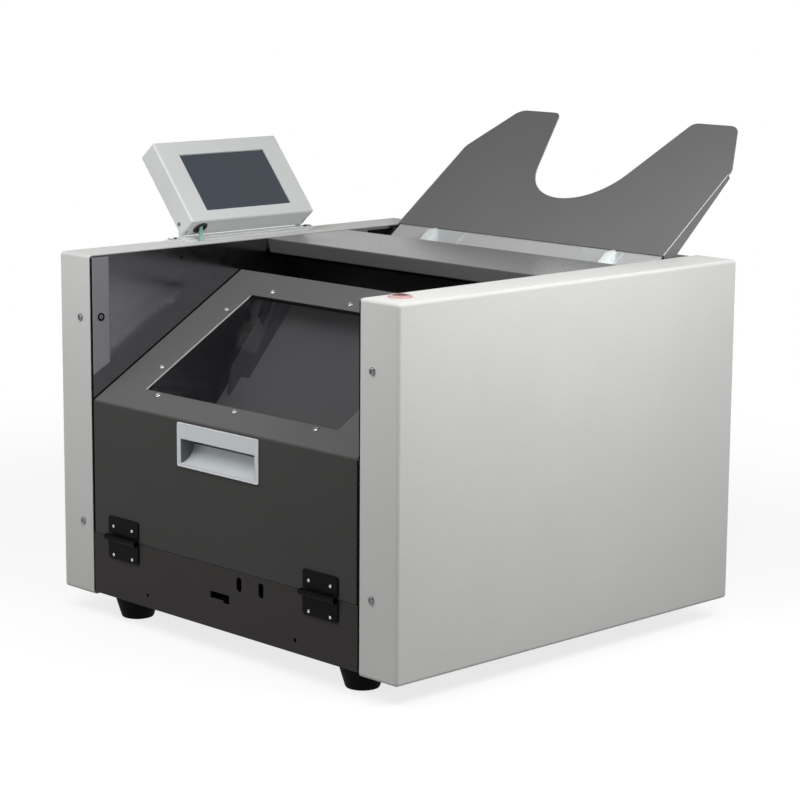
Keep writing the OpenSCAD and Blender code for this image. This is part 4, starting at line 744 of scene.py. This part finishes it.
# Start button: a rose ring round a dished cap
button = {"x": 250.7, "y": 36.4, "top": 400.0}
ringLine = [(9.4, -6), (9.4, 1.6), (9.7, 2.2), (10.3, 2.5), (11.6, 2.4), (12.6, 1.5), (13.0, 0.4), (13.0, 0),
            (11, 0), (11, -6), (9.4, -6)]
capLine = [(0, 1.35), (3, 1.4), (6, 1.7), (7.6, 2.3), (8.4, 2.5), (8.85, 2.3), (9.0, 1.8), (9.0, -8), (0, -8)]
atButton = axesAt((button["x"], button["y"], button["top"]))
addPiece("buttonRing", [placed(lathe(ringLine, 64), atButton)], "frame", bezelPlastic,
         ["button_bezel"], sharp=60)
addPiece("buttonCap", [placed(lathe(capLine, 64), atButton)], "start_button", capPlastic,
         ["button_cap"], sharp=60)

# Stop screw: a trapezoid thread of four starts, its radius set by the place along and round the bar
thread = {"r": 5.0, "deep": 0.9, "lead": 8.0, "starts": 4, "z": -20.0, "y": (-506.0, -247.0), "perPitch": 8}
threadLong = thread["y"][1] - thread["y"][0]
threadSteps = int(threadLong * thread["starts"] / thread["lead"] * thread["perPitch"])
along = np.linspace(*thread["y"], threadSteps + 1)
turn = np.linspace(0, 2 * np.pi, 24, endpoint=False)
phase = (along[:, None] / thread["lead"] - turn[None, :] / (2 * np.pi)) * thread["starts"] % 1.0
crest = np.clip(2.0 - 6.0 * abs(phase - 0.5), 0, 1)  # crest, flanks and root: a third each
threadR = thread["r"] - thread["deep"] * (1 - crest)
threadRings = np.stack([threadR * np.cos(turn), along[:, None] + 0 * turn,
                        thread["z"] + threadR * np.sin(turn)], -1)
addPiece("stopScrewThread", [placed(loft(threadRings), onFeed)], "screw", groundSteel,
         ["stop_screw"])

# Back: pressed louvre hoods, cover screws and inlet pins
louvre = {"x": (-120.0, 0.0, 120.0), "wide": 90.0, "low": 259.2, "pitch": 10.0, "count": 8, "high": 6.5,
          "out": 3.0, "off": 0.05, "full": 0.9, "sheet": 1.0}
u = np.linspace(-1, 1, 25)[:, None]
v = np.linspace(0, 1, 7)[None, :]
nearEnd = np.clip((abs(u) - louvre["full"]) / (1 - louvre["full"]), 0, 1)
endTaper = np.sqrt(np.clip(1 - nearEnd ** 2, 0, 1))
hoodOut = louvre["off"] + louvre["out"] * np.sin(v * np.pi / 2) * endTaper
hood = np.stack([u * louvre["wide"] / 2 + 0 * v, hoodOut, louvre["high"] * np.cos(v * np.pi / 2) + 0 * u], -1)
hoods = [placed(grid(hood), axesAt((x, cover["depth"], louvre["low"] + louvre["pitch"] * k)))
         for x in louvre["x"] for k in range(louvre["count"])]
addPiece("louvreHoods", hoods, "frame", doorPaint, wall=louvre["sheet"])
rearScrew = {"x": 214.0, "z": (22.0, 200.0, 378.0), "head": 7.0, "rise": 2.0, "spin": 40}
rearHead = screwHead(rearScrew["head"], rearScrew["rise"])
rearHeads = [placed(rearHead, turnedTo((s * rearScrew["x"], cover["depth"], z), (0, 1, 0),
                                       rearScrew["spin"] * k))
             for s in (-1, 1) for k, z in enumerate(rearScrew["z"])]
addPiece("rearCoverScrews", rearHeads, "frame", screwZinc)
pin = {"at": ((143.0, 45.0), (150.0, 50.0), (157.0, 45.0)), "thick": 1.0, "wide": 2.0, "y": (527.5, 541.0),
       "r": 0.5, "cornerR": 0.6}
pins = [bar(((x - pin["thick"], x + pin["thick"]), pin["y"], (z - pin["wide"], z + pin["wide"])),
            pin["r"], 1, pin["cornerR"]) for x, z in pin["at"]]
addPiece("inletPins", pins, "frame", zincSteel)

# Cross cover: a sheet bent down at the back and further down at the front, with a small return
crossSheet = {"half": 226.8, "y": (271.5, 405.5), "top": 399.5, "backLip": 15.0, "face": 17.5,
              "back": (8.5, -1.5), "r": 1.5, "sheet": 1.5, "slant": 4.0, "bevel": 0.3, "footSteps": 5}
crossFront, crossBack = crossSheet["y"]
crossFoot = np.array([crossFront, crossSheet["top"] - crossSheet["face"]])
crossReturn = np.array(crossSheet["back"])
crossLine = np.concatenate([
    [(crossBack, crossSheet["top"] - crossSheet["backLip"])],
    arcAt((crossBack, crossSheet["top"]), (0, 1), (-1, 0), crossSheet["r"], 6),
    arcAt((crossFront, crossSheet["top"]), (-1, 0), (0, -1), crossSheet["r"], 6),
    arcAt(crossFoot, (0, -1), crossReturn / np.linalg.norm(crossReturn), crossSheet["r"],
          crossSheet["footSteps"]),
    [crossFoot + crossReturn]])
crossEnds = np.full(len(crossLine), crossSheet["half"])
crossEnds[-crossSheet["footSteps"] - 1:] -= crossSheet["slant"]  # the front face narrows to its foot
crossPoints = np.stack([np.column_stack([s * crossEnds, crossLine]) for s in (-1, 1)], 1)
addPiece("crossCoverSheet", [grid(crossPoints)], bodyOf["cross_cover"], crossPaint,
         ["cross_cover"], crossSheet["sheet"], crossSheet["bevel"])

# Fold line of the fork tray: a pale strip along both folded edges, a painted highlight on the bends
fold = {"x": 221.6, "y": (1.0, 145.0), "z": 1.6, "r": 0.5}
foldPath = np.stack([np.full(9, fold["x"]), np.linspace(*fold["y"], 9), np.full(9, fold["z"])], 1)
foldLine = placed(tube(foldPath, fold["r"], 12), onFeed)
addPiece("trayFoldHighlights", [foldLine, mirrored(foldLine)], bodyOf["paper_tray"], foldHighlightPaint)

# Softened copies of the formed sheets and mouldings that show
keepTriangles = ("rear_cover", "booklet_guides")  # joined, their large faces don't split cleanly again
for node in ("lower_front_panel", "rear_cover", "feed_plate", "paper_tray", "delivery_plate",
             "booklet_guides", "power_inlet", "power_rocker"):
    addCopy(node, flatten=node not in keepTriangles)

# Paper guides: the upper rear corner cut off, and the stems kept off the slot ends at their stops
guide = {"corner": (0, -2, 4), "facing": (0, 8.5, 12), "stemEnd": 136.5, "room": 0.15, "within": 0.01}
guideCorner = ((onFeed(guide["corner"]) + caseShift) * mm).tolist()
guideFacing = (onFeed(guide["facing"]) - onFeed((0, 0, 0))).tolist()
for node in ("left_paper_guide", "right_paper_guide"):
    guideMesh = addCopy(node, cut=(guideCorner, guideFacing)).data
    flatPoints = np.empty(len(guideMesh.vertices) * 3)
    guideMesh.vertices.foreach_get("co", flatPoints)
    guideX = flatPoints[::3]
    atEnd = abs(abs(guideX) - guide["stemEnd"] * mm) < guide["within"] * mm
    guideX[atEnd] -= np.sign(guideX[atEnd]) * guide["room"] * mm
    guideMesh.vertices.foreach_set("co", flatPoints)
print("sheets softened")

# Studio: pale floor, white surround, four softboxes and the photograph's camera
ground = {"half": 14.0, "near": 0.45, "far": 1.6, "paint": "#909090", "glow": 0.78}


def studioFloor():
    # near the machine the floor is lit paint that keeps its shadow, further out it turns white to the eye
    material, tree = newTree("studioFloorPaint")
    spot = addNode(tree, "TexCoord").outputs["Object"]
    away = addNode(tree, "VectorMath", {0: spot}, operation="LENGTH").outputs["Value"]
    far = addNode(tree, "MapRange", {"Value": away, "From Min": ground["near"], "From Max": ground["far"]},
                  interpolation_type="SMOOTHSTEP").outputs[0]
    path = addNode(tree, "LightPath")
    eye = addNode(tree, "Math", {0: path.outputs["Is Camera Ray"], 1: path.outputs["Is Glossy Ray"]},
                  operation="MAXIMUM").outputs[0]
    seen = addNode(tree, "Math", {0: eye, 1: path.outputs["Is Transmission Ray"]},
                   operation="MAXIMUM").outputs[0]
    paint = addNode(tree, "BsdfDiffuse", {"Color": lin(ground["paint"])})
    glow = addNode(tree, "Emission", {"Color": (1, 1, 1, 1), "Strength": ground["glow"]})
    white = addNode(tree, "Emission", {"Color": (1, 1, 1, 1), "Strength": 1.0})
    lit = addNode(tree, "AddShader", {0: paint.outputs[0], 1: glow.outputs[0]})
    shown = addNode(tree, "MixShader", {0: far, 1: lit.outputs[0], 2: white.outputs[0]})
    whole = addNode(tree, "MixShader", {0: seen, 1: paint.outputs[0], 2: shown.outputs[0]})
    addNode(tree, "OutputMaterial", {"Surface": whole.outputs[0]})
    return material


floorSpan = np.linspace(-ground["half"], ground["half"], 3)
floorGrid = np.stack(np.meshgrid(floorSpan, floorSpan, [0.0], indexing="ij"), -1)[:, :, 0]
floorMesh = bpy.data.meshes.new("studioFloor")
floorPoints, floorFaces = grid(floorGrid)
floorMesh.from_pydata(floorPoints.tolist(), [], floorFaces)
floorMesh.materials.append(studioFloor())
floorPiece = bpy.data.objects.new("studioFloor", floorMesh)
bpy.context.scene.collection.objects.link(floorPiece)

# Surround: white to the eye, a weak fill, and for reflections a white horizon under a dimmer ceiling
surround = {"fill": 0.2, "horizon": 1.0, "ceiling": 0.2, "from": 0.22, "to": 0.62}
world = bpy.data.worlds.new("studioSurround")
bpy.context.scene.world = world
world.use_nodes = True
sky = world.node_tree
sky.nodes.clear()
lookUp = addNode(sky, "SeparateXYZ", {"Vector": addNode(sky, "TexCoord").outputs["Generated"]}).outputs["Z"]
ceiling = addNode(sky, "MapRange", {"Value": lookUp, "From Min": surround["from"], "From Max": surround["to"],
                                    "To Min": surround["horizon"], "To Max": surround["ceiling"]},
                  interpolation_type="SMOOTHSTEP").outputs[0]
rays = addNode(sky, "LightPath")
mirror = addNode(sky, "Math", {0: rays.outputs["Is Glossy Ray"], 1: rays.outputs["Is Transmission Ray"]},
                 operation="MAXIMUM").outputs[0]
reflected = addNode(sky, "Mix", {0: mirror, 2: surround["fill"], 3: ceiling}, data_type="FLOAT").outputs[0]
strength = addNode(sky, "Mix", {0: rays.outputs["Is Camera Ray"], 2: reflected, 3: 1.0},
                   data_type="FLOAT").outputs[0]
backdrop = addNode(sky, "Background", {"Color": (1, 1, 1, 1), "Strength": strength})
addNode(sky, "OutputWorld", {"Surface": backdrop.outputs[0]})


def matrixFrom(x, y, z, at):
    # columns are the axes, the last one the place
    columns = np.eye(4)
    columns[:3, :4] = np.stack([x, y, z, at], 1)
    return Matrix(columns.tolist())


softboxes = {
    "right": {"at": (0.83, 0.0, 0.86), "to": (0.18, -0.05, 0.11), "size": (0.44, 0.8), "watts": 7.1},
    "front": {"at": (0.0, -0.8, 1.1), "to": (0.0, -0.2, 0.35), "size": (0.6, 0.6), "watts": 6.3},
    "left": {"at": (-0.7, -1.2, 0.85), "to": (-0.1, -0.1, 0.35), "size": (0.8, 0.8), "watts": 3.2},
    "back": {"at": (-0.1, 1.7, 0.45), "to": (0, 0.2, 0.25), "size": (0.9, 0.9), "watts": 6.0}}
for boxName, box in softboxes.items():
    lamp = bpy.data.lights.new(boxName + "Softbox", "AREA")
    lamp.shape = "RECTANGLE"
    lamp.size, lamp.size_y = box["size"]
    lamp.energy = box["watts"]
    lampPiece = bpy.data.objects.new(boxName + "Softbox", lamp)
    bpy.context.scene.collection.objects.link(lampPiece)
    z = np.array(box["at"], float) - box["to"]
    z /= np.linalg.norm(z)
    x = np.cross((0, 1, 0.01), z)
    x /= np.linalg.norm(x)
    lampPiece.matrix_world = matrixFrom(x, np.cross(z, x), z, box["at"])

shot = {"at": (2.11435, -2.03777, 0.80146), "turn": 45.95, "lift": 10.48, "roll": 0.42, "lens": 114.1,
        "sensor": 36.0, "reach": 60.0}
turn, lift, roll = (math.radians(shot[k]) for k in ("turn", "lift", "roll"))
back = np.array([math.sin(turn) * math.cos(lift), -math.cos(turn) * math.cos(lift), math.sin(lift)])
level = np.cross(-back, (0, 0, 1))
level /= np.linalg.norm(level)
upright = np.cross(back, level)
rightAxis = math.cos(roll) * level + math.sin(roll) * upright
upAxis = math.cos(roll) * upright - math.sin(roll) * level
camera = bpy.data.objects.new("photoCamera", bpy.data.cameras.new("photoCamera"))
bpy.context.scene.collection.objects.link(camera)
camera.data.lens = shot["lens"]
camera.data.sensor_width = shot["sensor"]
camera.data.clip_end = shot["reach"]
camera.matrix_world = matrixFrom(rightAxis, upAxis, back, shot["at"])
bpy.context.scene.camera = camera
bpy.context.scene.view_settings.view_transform = "Standard"
print("studio set")
